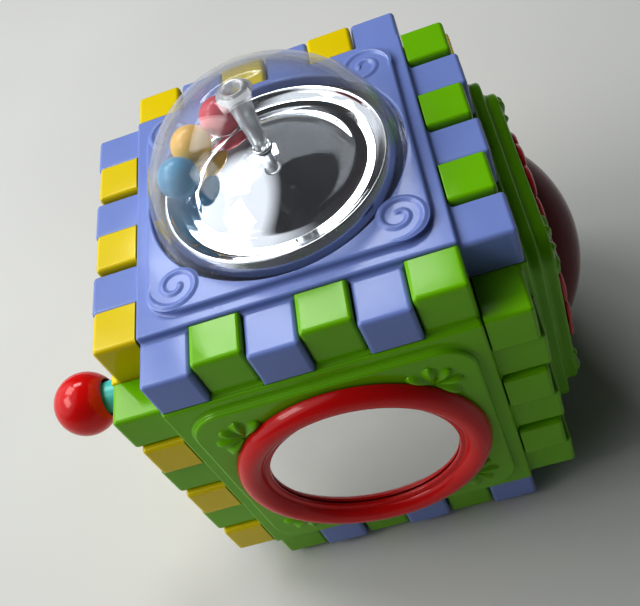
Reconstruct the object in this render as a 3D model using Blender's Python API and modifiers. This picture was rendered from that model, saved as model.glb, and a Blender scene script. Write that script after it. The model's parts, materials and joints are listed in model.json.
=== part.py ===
"""Baby activity cube: six interlocking panels round an inner frame, with one thing to play with on each face.

Metres, +Z up. The cube stands on the flat plate of its bottom panel, the origin is the middle of that plate,
X runs to the right and Y to the back. Each panel and what it carries is modelled in its own face frame:
u to the right and v up as seen from outside, and n outwards from the middle of the cube.
"""
import math

import bmesh
import bpy
from mathutils import Matrix, Vector

# ---- driving dimensions ----
CELL = 0.019                       # one square of the tab pattern
GAP = 0.0003                       # between pieces that touch
WALL = 0.0026                      # moulded wall
CORE = 3 * CELL                    # half the side of the inner cube, which the six slabs cover
SLAB = CORE - 0.0002               # half the side of a panel's slab
SLAB_FOOT = CORE + 0.0002          # where a slab starts, from the middle of the cube
TAB_FACE = 3.9 * CELL              # outer face of a tab, on its own side
TAB_END = 4.0 * CELL               # end of a tab, just proud of the next side
PLATE_1 = 4.04 * CELL              # level of a panel's square plate
PLATE_2 = 4.17 * CELL              # level of the rounded plate on it
PLATE_2_HALF, PLATE_2_ROUND = 2.72 * CELL, 0.7 * CELL
FRAME_HALF, FRAME_INSIDE, FRAME_WINDOW = CORE - 0.0001, 0.051, 0.042
PEG, PEG_HALF, PEG_FOOT = 0.046, 0.0025, 0.0535

# top: clear dome over a mirror-finish tray, with three loose balls
DOME_RADIUS, DOME_CENTRE, DOME_WALL = 2.62 * CELL, 3.68 * CELL, 0.0016
DOME_EDGE_ANGLE, DOME_INNER_EDGE_ANGLE = 9.9, 9.6     # degrees up from the sphere's equator
DOME_SKIRT, DOME_FLANGE, DOME_HOLE = 0.0490, 0.0512, 0.0498
FLANGE_TOP, FLANGE_FOOT, SHELL_INSIDE = 0.0739, 0.0719, 0.0466
RETAINER_EAR, RETAINER_TOP, RETAINER_FOOT = 0.0388, 0.0716, 0.0696
PILLAR_FOOT, PILLAR_FOOT_RADIUS, PILLAR_ROOT_RADIUS = 0.0917, 0.0026, 0.0044
TRAY_PEAK, TRAY_CREASE, TRAY_CREASE_RADIUS = 4.8 * CELL, 4.12 * CELL, 1.66 * CELL
TRAY_RIM, TRAY_RIM_RADIUS, TRAY_WALL = 0.0804, 0.0429, 0.0015
BALL_RADIUS, BALL_ORBIT, BALL_HEIGHT = 0.008, 0.0347, 0.08695
BALLS = {                          # angle round the dome's axis in degrees, and colour
    "blue_ball": (174, "ball_blue_plastic"),
    "yellow_ball": (146.5, "yellow_plastic"),
    "red_ball": (119, "red_plastic"),
}

# front: mirror in a rounded ring
RING_OUTER, RING_INNER, RING_CREST, RING_CREST_RADIUS = 2.55 * CELL, 1.9 * CELL, 0.0851, 0.0431
RING_INNER_HALF_WIDTH, RING_LIP = 0.0052, 0.0814      # crest to groove, and level of the lip by the mirror
MIRROR_RADIUS, MIRROR_FACE, MIRROR_THICK = 0.0372, 0.0795, 0.0015
MIRROR_HOLE = MIRROR_RADIUS + 0.0004
MIRROR_SCREWS_AT, BACKING_FOOT, BACKING_TOP = 0.0431, 0.0744, 0.0763

# right: lit push button with a ring of petals, on two extra plates
PLATE_A, PLATE_A_HALF, PLATE_A_ROUND = 4.3 * CELL, 2.7 * CELL, 0.65 * CELL
PLATE_B, PLATE_B_HALF, PLATE_B_ROUND = 4.58 * CELL, 2.45 * CELL, 0.6 * CELL
BUTTON_SPHERE, BUTTON_CENTRE, BUTTON_RADIUS = 2.8 * CELL, 2.6 * CELL, 0.0376
BUTTON_TRAVEL = 0.004
PETALS, PETAL_OUTER, PETAL_VALLEY, PETAL_TOP = 18, 0.0450, 0.0425, 0.0897
BUTTON_HOLE = BUTTON_RADIUS + 0.0005
BUTTON_WALL, BUTTON_FLANGE, BUTTON_POST = 0.0022, 0.0405, 0.0795
BASE_BOSS, BASE_FOOT, BASE_TOP = 0.033, 0.0586, 0.0612

# left: crank with a ball knob
HANDLE_U, HANDLE_V = 1.1 * CELL, 0.2 * CELL
HANDLE_RADIUS, PIN_RADIUS = 0.0071, 0.0040
KNOB_RADIUS, KNOB_AT, KNOB_MOUTH = 0.0141, 6.18 * CELL, 0.0084
CRANK_DISC_RADIUS, CRANK_HUB_RADIUS, CRANK_SHAFT_RADIUS, CRANK_HOLE = 0.034, 0.0057, 0.0035, 0.0062
CLICK_TEETH, CLICK_RADIUS, CLICK_SWING = 12, 0.0125, 0.0011

# back: roller drum
ROLLER_RADIUS, ROLLER_HALF, ROLLER_AT = 0.024, 0.030, 0.066
ROLLER_WINDOW_U, ROLLER_WINDOW_V = 0.032, 0.0238

# bottom: batteries, speaker and power switch
BATTERY_RADIUS, BATTERY_HALF, BATTERY_AT = 0.00525, 0.0222, 0.0702
BATTERY_ROWS = (0.0107, 0.0216, 0.0325)
DOOR_U, DOOR_V0, DOOR_V1 = 0.0275, 0.0015, 0.0447
SPEAKER_V, SPEAKER_RADIUS = -0.026, 0.017
SLOT_PITCH, SLOT_HALF, SLOT_REACH = 0.0042, 0.0010, 0.0155
SWITCH_U, SWITCH_V, SWITCH_FINGER, SWITCH_TRAVEL = 0.040, -0.016, 0.0025, 0.0034

COLOURS = {
    "blue_plastic": ((0.22, 0.27, 0.64), 0.28, 0.0),
    "green_plastic": ((0.25, 0.52, 0.03), 0.28, 0.0),
    "yellow_plastic": ((0.78, 0.55, 0.02), 0.28, 0.0),
    "red_plastic": ((0.50, 0.012, 0.012), 0.22, 0.0),
    "teal_plastic": ((0.03, 0.38, 0.38), 0.28, 0.0),
    "ball_blue_plastic": ((0.03, 0.30, 0.55), 0.25, 0.0),
    "lens_red": ((0.28, 0.01, 0.03), 0.15, 0.0),
    "clear_plastic": ((0.85, 0.90, 0.92), 0.05, 0.0),
    "mirror_finish": ((0.85, 0.86, 0.88), 0.05, 1.0),
    "grey_plastic": ((0.16, 0.16, 0.17), 0.5, 0.0),
    "black_plastic": ((0.02, 0.02, 0.02), 0.45, 0.0),
    "steel": ((0.62, 0.62, 0.63), 0.3, 1.0),
    "board_green": ((0.02, 0.16, 0.07), 0.45, 0.0),
    "battery_jacket": ((0.10, 0.10, 0.11), 0.35, 0.2),
}
FACES = {                          # u and n of each face frame; v is n x u
    "top": ((1, 0, 0), (0, 0, 1)), "bottom": ((1, 0, 0), (0, 0, -1)),
    "front": ((1, 0, 0), (0, -1, 0)), "back": ((-1, 0, 0), (0, 1, 0)),
    "left": ((0, -1, 0), (-1, 0, 0)), "right": ((0, 1, 0), (1, 0, 0)),
}


# ---- scene, materials and frames ----
for old in list(bpy.data.objects):
    bpy.data.objects.remove(old, do_unlink=True)
parts = bpy.data.collections.new("activity_cube")
cutters = bpy.data.collections.new("activity_cube_cutters")
bpy.context.scene.collection.children.link(parts)
bpy.context.scene.collection.children.link(cutters)


def material(name):
    if name not in bpy.data.materials:
        colour, roughness, metallic = COLOURS[name]
        made = bpy.data.materials.new(name)
        made.use_nodes = True
        shader = made.node_tree.nodes["Principled BSDF"]
        shader.inputs["Base Color"].default_value = (*colour, 1)
        shader.inputs["Roughness"].default_value = roughness
        shader.inputs["Metallic"].default_value = metallic
    return bpy.data.materials[name]


def face_frame(name):
    """An empty at the middle of the cube, with its Z along the face's n."""
    u, n = (Vector(axis) for axis in FACES[name])
    v = n.cross(u)
    frame = bpy.data.objects.new("face_" + name, None)
    turn = Matrix((u, v, n)).transposed()
    frame.matrix_world = Matrix.Translation((0, 0, PLATE_2)) @ turn.to_4x4()
    parts.objects.link(frame)
    return frame


frames = {name: face_frame(name) for name in FACES}


def place(name, data, face, look=None, at=(0, 0, 0)):
    """An object in a face frame: a part if it has a look, and a cutter or an addition if not."""
    made = bpy.data.objects.new(name, data)
    made.parent = frames[face]
    made.location = at
    if look:
        parts.objects.link(made)
        data.materials.append(material(look))
    else:
        cutters.objects.link(made)
        made.hide_render = True
        made.display_type = "WIRE"
    return made


def mesh_from(bm, name):
    data = bpy.data.meshes.new(name)
    bm.to_mesh(data)
    bm.free()
    return data


# ---- shapes, all in a face frame ----
def boxes(name, ranges, face, look=None):
    """Boxes given as (u0, u1, v0, v1, n0, n1)."""
    bm = bmesh.new()
    for u0, u1, v0, v1, n0, n1 in ranges:
        middle = Matrix.Translation(((u0 + u1) / 2, (v0 + v1) / 2, (n0 + n1) / 2))
        size = Matrix.Diagonal((u1 - u0, v1 - v0, n1 - n0, 1))
        bmesh.ops.create_cube(bm, size=1, matrix=middle @ size)
    return place(name, mesh_from(bm, name), face, look)


def rods(name, places, radius, n0, n1, face, look=None, segments=12, end_radius=None):
    """Cylinders or cones along n at each (u, v)."""
    bm = bmesh.new()
    for u, v in places:
        bmesh.ops.create_cone(
            bm, cap_ends=True, segments=segments, radius1=radius, depth=n1 - n0,
            radius2=radius if end_radius is None else end_radius,
            matrix=Matrix.Translation((u, v, (n0 + n1) / 2)),
        )
    return place(name, mesh_from(bm, name), face, look)


def rounded_block(name, half, radius, n0, n1, face, steps=4):
    bm = bmesh.new()
    middle = Matrix.Translation((0, 0, (n0 + n1) / 2))
    bmesh.ops.create_cube(bm, size=1, matrix=middle @ Matrix.Diagonal((2 * half, 2 * half, n1 - n0, 1)))
    upright = [edge for edge in bm.edges if abs(edge.verts[0].co.z - edge.verts[1].co.z) > 1e-4]
    bmesh.ops.bevel(bm, geom=upright, offset=radius, segments=steps, profile=0.5, affect="EDGES")
    return place(name, mesh_from(bm, name), face)


def arc(centre_r, centre_n, radius, start, end, steps):
    """Points (r, n) on a circle, with angles in degrees from the r axis."""
    angles = [math.radians(start + (end - start) * i / steps) for i in range(steps + 1)]
    return [(centre_r + radius * math.cos(a), centre_n + radius * math.sin(a)) for a in angles]


def turned(name, profile, face, look=None, segments=32, at=(0, 0, 0)):
    """A profile of (r, n) points, down the outside and up the inside, turned about n."""
    bm = bmesh.new()
    points = [bm.verts.new((max(r, 0.0), 0, n)) for r, n in profile]
    for first, second in zip(points, points[1:]):
        bm.edges.new((first, second))
    if profile[0][0] > 1e-6:
        bm.edges.new((points[-1], points[0]))
    made = place(name, mesh_from(bm, name), face, look, at)
    screw = made.modifiers.new("Turn", "SCREW")
    screw.steps = screw.render_steps = segments
    screw.use_merge_vertices = True
    screw.merge_threshold = 0.00001
    screw.use_smooth_shade = True
    return made


def flat(name, loops, n0, n1, face, look):
    """Closed outlines of (u, v) points, filled between and extruded along n."""
    outline = bpy.data.curves.new(name, "CURVE")
    outline.dimensions = "2D"
    outline.fill_mode = "BOTH"
    outline.extrude = (n1 - n0) / 2
    for loop in loops:
        spline = outline.splines.new("POLY")
        spline.points.add(len(loop) - 1)
        for point, (u, v) in zip(spline.points, loop):
            point.co = (u, v, 0, 1)
        spline.use_cyclic_u = True
    return place(name, outline, face, look, (0, 0, (n0 + n1) / 2))


def ring_points(radius, count):
    """Points round a circle; radius may be a function of the angle."""
    angles = [2 * math.pi * i / count for i in range(count)]
    sizes = [radius(a) if callable(radius) else radius for a in angles]
    return [(size * math.cos(a), size * math.sin(a)) for a, size in zip(angles, sizes)]


def boolean(target, other, operation):
    modifier = target.modifiers.new(operation.title() + " " + other.name, "BOOLEAN")
    modifier.operation = operation
    modifier.object = other
    modifier.solver = "EXACT"


def add(target, other):
    boolean(target, other, "UNION")


def cut(target, other):
    boolean(target, other, "DIFFERENCE")


def quarter_turns(box):
    """A box given as (u0, u1, v0, v1, n0, n1), repeated on all four sides of the face."""
    u0, u1, v0, v1, n0, n1 = box
    return [
        (u0, u1, v0, v1, n0, n1), (-v1, -v0, u0, u1, n0, n1),
        (-u1, -u0, -v1, -v0, n0, n1), (v0, v1, -u1, -u0, n0, n1),
    ]


CORNERS = [(u, v) for u in (-1, 1) for v in (-1, 1)]


def screw(name, u, v, head, tip, face, head_radius=0.0028, shank_radius=0.0011):
    """A pan-head screw at (u, v): the head ends at n = head, the shank at n = tip."""
    outwards = 1 if head > tip else -1
    under = head - outwards * 0.0015
    profile = [
        (0, head), (head_radius * 0.7, head), (head_radius, under + outwards * 0.0006), (head_radius, under),
        (shank_radius, under), (shank_radius, tip + outwards * 0.001), (0, tip),
    ]
    if outwards < 0:
        profile.reverse()
    turned(name, profile, face, "steel", 10, (u, v, 0))


def pegs_to(ceiling):
    """The four posts that locate a panel in the inner frame's sockets."""
    return [
        (su * PEG - PEG_HALF, su * PEG + PEG_HALF, sv * PEG - PEG_HALF, sv * PEG + PEG_HALF, PEG_FOOT, ceiling)
        for su, sv in CORNERS
    ]


# ---- the six panels ----
def panel(name, face, look, plates, pegs=True):
    """A hollow slab with three hollow tabs on each side; plates is a list of (half side, corner, level)."""
    made = boxes(name, [(-SLAB, SLAB, -SLAB, SLAB, SLAB_FOOT, PLATE_1)], face, look)
    below = PLATE_1
    for index, (half, corner, level) in enumerate(plates):
        add(made, rounded_block(f"{name}_plate_{index}", half, corner, below - 0.001, level, face))
        below = level
    tab_boxes, tab_hollows = [], []
    for cell in (0, 2, 4):
        start = (cell - 3) * CELL + GAP / 2
        end = start + CELL - GAP
        tab_boxes += quarter_turns((start, end, -TAB_END, 0.001 - SLAB, SLAB_FOOT, TAB_FACE))
        hollow_end = TAB_FACE - WALL
        tab_hollows += quarter_turns(
            (start + WALL, end - WALL, WALL - TAB_END, -SLAB - 0.0008, SLAB_FOOT - 0.001, hollow_end)
        )
    add(made, boxes(name + "_tabs", tab_boxes, face))
    inside = SLAB - WALL
    hollow = [(-inside, inside, -inside, inside, SLAB_FOOT - 0.001, PLATE_1 - WALL)]
    cut(made, boxes(name + "_hollows", hollow + tab_hollows, face))
    below = PLATE_1 - WALL
    for index, (half, corner, level) in enumerate(plates):
        block = rounded_block(
            f"{name}_hollow_{index}", half - WALL, max(corner - WALL, 0.001), below - 0.001, level - WALL, face
        )
        cut(made, block)
        below = level - WALL
    if pegs:
        add(made, boxes(name + "_pegs", pegs_to(plates[-1][2] - WALL + 0.001), face))
    return made


def inner_frame():
    """An open box with a window in each side, sockets for the panels' pegs, and screw pilots in its base."""
    made = boxes("inner_frame", [(-FRAME_HALF, FRAME_HALF) * 3], "top", "grey_plastic")
    cut(made, boxes("frame_inside", [(-FRAME_INSIDE, FRAME_INSIDE) * 3], "top"))
    window, through = FRAME_WINDOW, 0.08
    cut(made, boxes("frame_window_n", [(-window, window, -window, window, -through, through)], "top"))
    cut(made, boxes("frame_window_u", [(-through, through, -window, window, -window, window)], "top"))
    cut(made, boxes("frame_window_v", [(-window, window, -through, through, -window, window)], "top"))
    room = PEG_HALF + GAP
    for face in FACES:
        if face == "bottom":
            pilots = [(su * PEG, sv * PEG) for su, sv in CORNERS]
            cut(made, rods("frame_pilots", pilots, 0.0014, 0.0525, 0.06, face, segments=8))
            continue
        sockets = [
            (su * PEG - room, su * PEG + room, sv * PEG - room, sv * PEG + room, PEG_FOOT - GAP, 0.06)
            for su, sv in CORNERS
        ]
        cut(made, boxes(f"frame_sockets_{face}", sockets, face))


# ---- top: dome, tray and balls ----
def top_face():
    top = panel("top_panel", "top", "blue_plastic", [(PLATE_2_HALF, PLATE_2_ROUND, PLATE_2)])
    cut(top, rods("dome_hole", [(0, 0)], DOME_HOLE, 0.07, 0.085, "top", segments=48))
    ears = [(RETAINER_EAR, RETAINER_EAR), (-RETAINER_EAR, -RETAINER_EAR)]
    boss_foot = RETAINER_TOP + 0.0002
    add(top, rods("retainer_bosses", ears, 0.003, boss_foot, PLATE_2 - WALL + 0.001, "top", segments=8))
    cut(top, rods("retainer_pilots", ears, 0.0013, boss_foot - 0.001, boss_foot + 0.0034, "top", segments=8))

    outer = arc(0, DOME_CENTRE, DOME_RADIUS, 90, DOME_EDGE_ANGLE, 12)
    inner_radius = DOME_RADIUS - DOME_WALL
    root = math.degrees(math.acos(PILLAR_ROOT_RADIUS / inner_radius))
    inner = arc(0, DOME_CENTRE, inner_radius, DOME_INNER_EDGE_ANGLE, root, 11)
    profile = [(0, outer[0][1])] + outer[1:] + [
        (DOME_SKIRT, FLANGE_TOP + 0.0006), (DOME_SKIRT, FLANGE_TOP), (DOME_FLANGE, FLANGE_TOP),
        (DOME_FLANGE, FLANGE_FOOT), (SHELL_INSIDE, FLANGE_FOOT),
    ] + inner + [(PILLAR_FOOT_RADIUS, PILLAR_FOOT), (0, PILLAR_FOOT)]
    turned("dome_cover", profile, "top", "clear_plastic", 36)

    mound_radius = (TRAY_CREASE_RADIUS**2 + (TRAY_PEAK - TRAY_CREASE) ** 2) / (2 * (TRAY_PEAK - TRAY_CREASE))
    reach = math.degrees(math.asin(TRAY_CREASE_RADIUS / mound_radius))
    mound = arc(0, TRAY_PEAK - mound_radius, mound_radius, 88, 90 - reach, 5)
    under = arc(0, TRAY_PEAK - mound_radius, mound_radius - TRAY_WALL, 90 - reach, 88, 4)
    profile = mound + [
        (0.0345, 0.0779), (0.0372, 0.0776), (0.0402, 0.0785), (0.0416, 0.0798), (TRAY_RIM_RADIUS, TRAY_RIM),
        (0.0439, 0.0795), (0.0443, 0.0740), (0.0461, 0.0735), (0.0461, 0.0720), (0.0428, 0.0720),
        (0.0420, 0.0770), (0.0400, 0.0765), (0.0342, 0.0762),
    ] + under
    turned("mirror_tray", profile, "top", "mirror_finish", 36)
    screw("pillar_screw", 0, 0, 0.0861, 0.0913, "top", 0.0035, 0.0014)

    inner_edge, outer_edge = 0.038, DOME_FLANGE + 0.0004
    profile = [(inner_edge, RETAINER_TOP), (outer_edge, RETAINER_TOP),
               (outer_edge, RETAINER_FOOT), (inner_edge, RETAINER_FOOT)]
    retainer = turned("dome_retainer", profile, "top", "grey_plastic", 32)
    add(retainer, rods("retainer_ears", ears, 0.0045, RETAINER_FOOT, RETAINER_TOP - 0.0001, "top", segments=10))
    cut(retainer, rods("retainer_holes", ears, 0.0015, RETAINER_FOOT - 0.001, 0.073, "top", segments=8))
    for index, (u, v) in enumerate(ears, 1):
        screw(f"retainer_screw_{index}", u, v, RETAINER_FOOT - 0.0018, 0.0740, "top", 0.0026)

    for name, (angle, look) in BALLS.items():
        bm = bmesh.new()
        bmesh.ops.create_uvsphere(bm, u_segments=14, v_segments=9, radius=BALL_RADIUS)
        turn = math.radians(angle)
        at = (BALL_ORBIT * math.cos(turn), BALL_ORBIT * math.sin(turn), BALL_HEIGHT)
        place(name, mesh_from(bm, name), "top", look, at)


# ---- front: mirror ----
def front_face():
    front = panel("front_panel", "front", "green_plastic", [(PLATE_2_HALF, PLATE_2_ROUND, PLATE_2)])
    cut(front, rods("mirror_hole", [(0, 0)], MIRROR_HOLE, 0.07, 0.085, "front", segments=40))
    turns = [math.radians(angle) for angle in (90, 210, 330)]
    places = [(MIRROR_SCREWS_AT * math.cos(a), MIRROR_SCREWS_AT * math.sin(a)) for a in turns]
    cut(front, rods("mirror_screw_holes", places, 0.0017, 0.07, 0.085, "front", segments=8))

    foot = PLATE_2 + GAP
    rise = RING_CREST - foot
    half_width = RING_OUTER - RING_CREST_RADIUS
    outer = [(RING_CREST_RADIUS + half_width * math.sin(a), foot + rise * math.cos(a))
             for a in (math.radians(angle) for angle in (0, 22, 45, 68, 90))]
    inner = [(RING_CREST_RADIUS - RING_INNER_HALF_WIDTH * math.sin(a), foot + rise * math.cos(a))
             for a in (math.radians(angle) for angle in (64, 45, 22))]
    room, over_mirror = MIRROR_RADIUS + 0.0006, MIRROR_FACE + 0.0004
    lip = [(room, foot), (room, over_mirror), (RING_INNER, over_mirror), (RING_INNER, RING_LIP - 0.0006),
           (RING_INNER + 0.0006, RING_LIP), (RING_INNER + 0.0016, RING_LIP)]
    ring = turned("mirror_ring", outer + lip + inner, "front", "red_plastic", 40)
    cut(ring, rods("ring_pilots", places, 0.0013, 0.078, RING_CREST - 0.0020, "front", segments=8))
    mirror_back = MIRROR_FACE - MIRROR_THICK
    rods("mirror", [(0, 0)], MIRROR_RADIUS, mirror_back, MIRROR_FACE, "front", "mirror_finish", 40)
    backing = rods("mirror_backing", [(0, 0)], 0.0478, BACKING_FOOT, BACKING_TOP, "front", "black_plastic", 28)
    pad = rods("backing_pad", [(0, 0)], 0.0350, BACKING_TOP - 0.0005, mirror_back - GAP, "front", segments=28)
    add(backing, pad)
    cut(backing, rods("backing_holes", places, 0.0015, 0.07, 0.08, "front", segments=8))
    for index, (u, v) in enumerate(places, 1):
        screw(f"mirror_screw_{index}", u, v, BACKING_FOOT - 0.0018, RING_CREST - 0.0025, "front")


# ---- right: light button ----
def right_face():
    plates = [(PLATE_A_HALF, PLATE_A_ROUND, PLATE_A), (PLATE_B_HALF, PLATE_B_ROUND, PLATE_B)]
    right = panel("right_panel", "right", "green_plastic", plates, pegs=False)
    add(right, boxes("right_panel_pegs", pegs_to(PLATE_1 - 0.001), "right"))
    cut(right, rods("button_hole", [(0, 0)], BUTTON_HOLE, 0.08, 0.09, "right", segments=40))
    bosses = [(-BASE_BOSS, -BASE_BOSS), (BASE_BOSS, BASE_BOSS)]
    boss_top = PLATE_B - WALL + 0.001
    add(right, rods("base_bosses", bosses, 0.0032, BASE_TOP + 0.0004, boss_top, "right", segments=10))
    cut(right, rods("base_pilots", bosses, 0.0013, BASE_TOP - 0.001, 0.0700, "right", segments=8))

    swing = (PETAL_OUTER - PETAL_VALLEY) / 2
    scallop = ring_points(lambda a: PETAL_VALLEY + swing + swing * math.cos(PETALS * a), PETALS * 6)
    loops = [scallop, ring_points(BUTTON_HOLE, 36)]
    flat("flower_bezel", loops, PLATE_B + GAP, PETAL_TOP, "right", "red_plastic")

    edge = math.degrees(math.acos(BUTTON_RADIUS / BUTTON_SPHERE))
    outer = arc(0, BUTTON_CENTRE, BUTTON_SPHERE, 90, edge, 7)
    inside = BUTTON_RADIUS - BUTTON_WALL
    inner_edge = math.degrees(math.acos(inside / (BUTTON_SPHERE - BUTTON_WALL)))
    inner = arc(0, BUTTON_CENTRE, BUTTON_SPHERE - BUTTON_WALL, inner_edge, 83, 6)
    flange = PLATE_B - WALL - GAP
    flange_foot = flange - 0.002
    skirt = [(BUTTON_RADIUS, flange), (BUTTON_FLANGE, flange), (BUTTON_FLANGE, flange_foot), (inside, flange_foot)]
    wide, narrow, tip = 0.0062, 0.0030, 0.0745
    post = [(wide, BUTTON_POST + 0.0005), (wide, BUTTON_POST), (narrow, BUTTON_POST), (narrow, tip), (0, tip)]
    profile = [(0, outer[0][1])] + outer[1:] + skirt + inner + post
    turned("light_button", profile, "right", "lens_red", 36)

    base = rods("button_base", [(0, 0)], 0.0475, BASE_FOOT, BASE_TOP, "right", "grey_plastic", 32)
    cut(base, rods("base_holes", bosses, 0.0015, 0.055, 0.065, "right", segments=8))
    for index, (u, v) in enumerate(bosses, 1):
        screw(f"button_base_screw_{index}", u, v, BASE_FOOT - 0.0018, 0.0680, "right")
    rods("led_board", [(0, 0)], 0.0185, 0.0615, 0.0631, "right", "board_green", 24)
    for index, u in enumerate((-0.013, 0.013), 1):
        dome = [(0, 0.0718)] + arc(0, 0.0693, 0.0025, 65, 0, 2)
        profile = dome + [(0.0025, 0.0655), (0.0030, 0.0655), (0.0030, 0.0634), (0, 0.0634)]
        turned(f"led_{index}", profile, "right", "clear_plastic", 10, (u, 0, 0))
    boxes("button_switch", [(-0.003, 0.003, -0.003, 0.003, 0.0634, 0.0700)], "right", "black_plastic")
    coil("button_spring", 0.0068, 0.0005, 0.0640, 0.0746, 4, "right")


def coil(name, radius, wire_radius, n0, n1, turns, face):
    """A compression spring about n."""
    data = bpy.data.curves.new(name, "CURVE")
    data.dimensions = "3D"
    data.bevel_depth = wire_radius
    data.bevel_resolution = 1
    data.use_fill_caps = True
    spline = data.splines.new("POLY")
    count = turns * 10
    spline.points.add(count)
    for index, point in enumerate(spline.points):
        along = index / count
        turn = 2 * math.pi * turns * along
        point.co = (radius * math.cos(turn), radius * math.sin(turn), n0 + (n1 - n0) * along, 1)
    place(name, data, face, "steel")


# ---- left: crank ----
def left_face():
    left = panel("left_panel", "left", "yellow_plastic", [(PLATE_2_HALF, PLATE_2_ROUND, PLATE_2)])
    cut(left, rods("crank_hole", [(0, 0)], CRANK_HOLE, 0.07, 0.085, "left", segments=16))
    add(left, boxes("pawl_post", [(0.0175, 0.0215, 0.004, 0.010, 0.0630, PLATE_2 - WALL + 0.001)], "left"))

    foot = PLATE_2 + GAP
    profile = [
        (0, foot + 0.0065), (0.014, foot + 0.0062), (0.024, foot + 0.0052), (0.031, foot + 0.0036),
        (CRANK_DISC_RADIUS, foot + 0.0018), (CRANK_DISC_RADIUS, foot), (CRANK_HUB_RADIUS, foot),
        (CRANK_HUB_RADIUS, 0.0686), (CRANK_SHAFT_RADIUS, 0.0686), (CRANK_SHAFT_RADIUS, 0.0620),
        (0.0011, 0.0620), (0.0011, 0.0700), (0, 0.0700),
    ]
    crank = turned("crank", profile, "left", "teal_plastic", 32)
    stick_end, pin_end = KNOB_AT - 0.0077, KNOB_AT + 0.0053
    profile = [
        (0, pin_end), (PIN_RADIUS - 0.0006, pin_end), (PIN_RADIUS, pin_end - 0.0008), (PIN_RADIUS, stick_end),
        (HANDLE_RADIUS, stick_end), (HANDLE_RADIUS, foot + 0.002), (0, foot + 0.002),
    ]
    add(crank, turned("crank_stick", profile, "left", None, 16, (HANDLE_U, HANDLE_V, 0)))

    mouth_angle = math.degrees(math.acos(KNOB_MOUTH / KNOB_RADIUS))
    ball = arc(0, 0, KNOB_RADIUS, 90, -mouth_angle, 11)
    bore, socket, end = PIN_RADIUS + 0.0004, -0.0073, 0.0057
    profile = [(0, KNOB_RADIUS)] + ball[1:]
    profile += [(KNOB_MOUTH - 0.0008, socket), (bore, socket), (bore, end), (0, end)]
    turned("crank_knob", profile, "left", "red_plastic", 20, (HANDLE_U, HANDLE_V, KNOB_AT))

    teeth = ring_points(lambda a: CLICK_RADIUS + CLICK_SWING * math.cos(CLICK_TEETH * a), CLICK_TEETH * 6)
    flat("click_wheel", [teeth, ring_points(0.0038, 12)], 0.0640, 0.0670, "left", "black_plastic")
    screw("crank_screw", 0, 0, 0.0600, 0.0690, "left", 0.0052, 0.0008)
    boxes("click_spring", [(0.0142, 0.0172, 0.0045, 0.0090, 0.0636, 0.0674)], "left", "steel")


# ---- back: roller ----
def back_face():
    back = panel("back_panel", "back", "yellow_plastic", [(PLATE_2_HALF, PLATE_2_ROUND, PLATE_2)])
    window = [(-ROLLER_WINDOW_U, ROLLER_WINDOW_U, -ROLLER_WINDOW_V, ROLLER_WINDOW_V, 0.07, 0.085)]
    cut(back, boxes("roller_window", window, "back"))
    lugs = [(-0.041, 0), (0.041, 0)]
    add(back, rods("cradle_bosses", lugs, 0.003, 0.0742, PLATE_2 - WALL + 0.001, "back", segments=8))
    cut(back, rods("cradle_pilots", lugs, 0.0013, 0.0725, PLATE_2 - WALL, "back", segments=8))

    floor, rim = ROLLER_AT - ROLLER_RADIUS - 0.0035, 0.0739
    tub = [(-0.0375, 0.0375, -0.0275, 0.0275, floor - 0.002, rim)]
    cradle = boxes("roller_cradle", tub, "back", "grey_plastic")
    add(cradle, boxes("cradle_lugs", [(-0.0455, 0.0455, -0.005, 0.005, rim - 0.0025, rim)], "back"))
    cut(cradle, boxes("cradle_trough", [(-0.0318, 0.0318, -0.0255, 0.0255, floor, 0.08)], "back"))
    cut(cradle, rods("cradle_lug_holes", lugs, 0.0015, 0.07, 0.08, "back", segments=8))
    bore = rods("cradle_bore", [(0, 0)], 0.0024, -0.0362, 0.0362, "back", segments=12)
    bore.location = (0, 0, ROLLER_AT)
    bore.rotation_euler = (0, math.pi / 2, 0)
    cut(cradle, bore)
    for index, (u, v) in enumerate(lugs, 1):
        screw(f"cradle_screw_{index}", u, v, 0.0696, 0.0760, "back", 0.0025)

    radius, half = ROLLER_RADIUS, ROLLER_HALF
    waist, waist_half, step = radius - 0.0015, 0.0100, 0.0015
    end = [(0.0024, half), (radius - 0.002, half), (radius, half - 0.002)]
    side = end + [(radius, waist_half + step), (waist, waist_half)]
    profile = side + [(r, -n) for r, n in reversed(side)]
    drum = turned("roller_drum", profile, "back", "red_plastic", 28, (0, 0, ROLLER_AT))
    drum.rotation_euler = (0, math.pi / 2, 0)
    axle = rods("roller_axle", [(0, 0)], 0.002, -0.0358, 0.0358, "back", "steel", 12)
    axle.location = (0, 0, ROLLER_AT)
    axle.rotation_euler = (0, math.pi / 2, 0)


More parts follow.
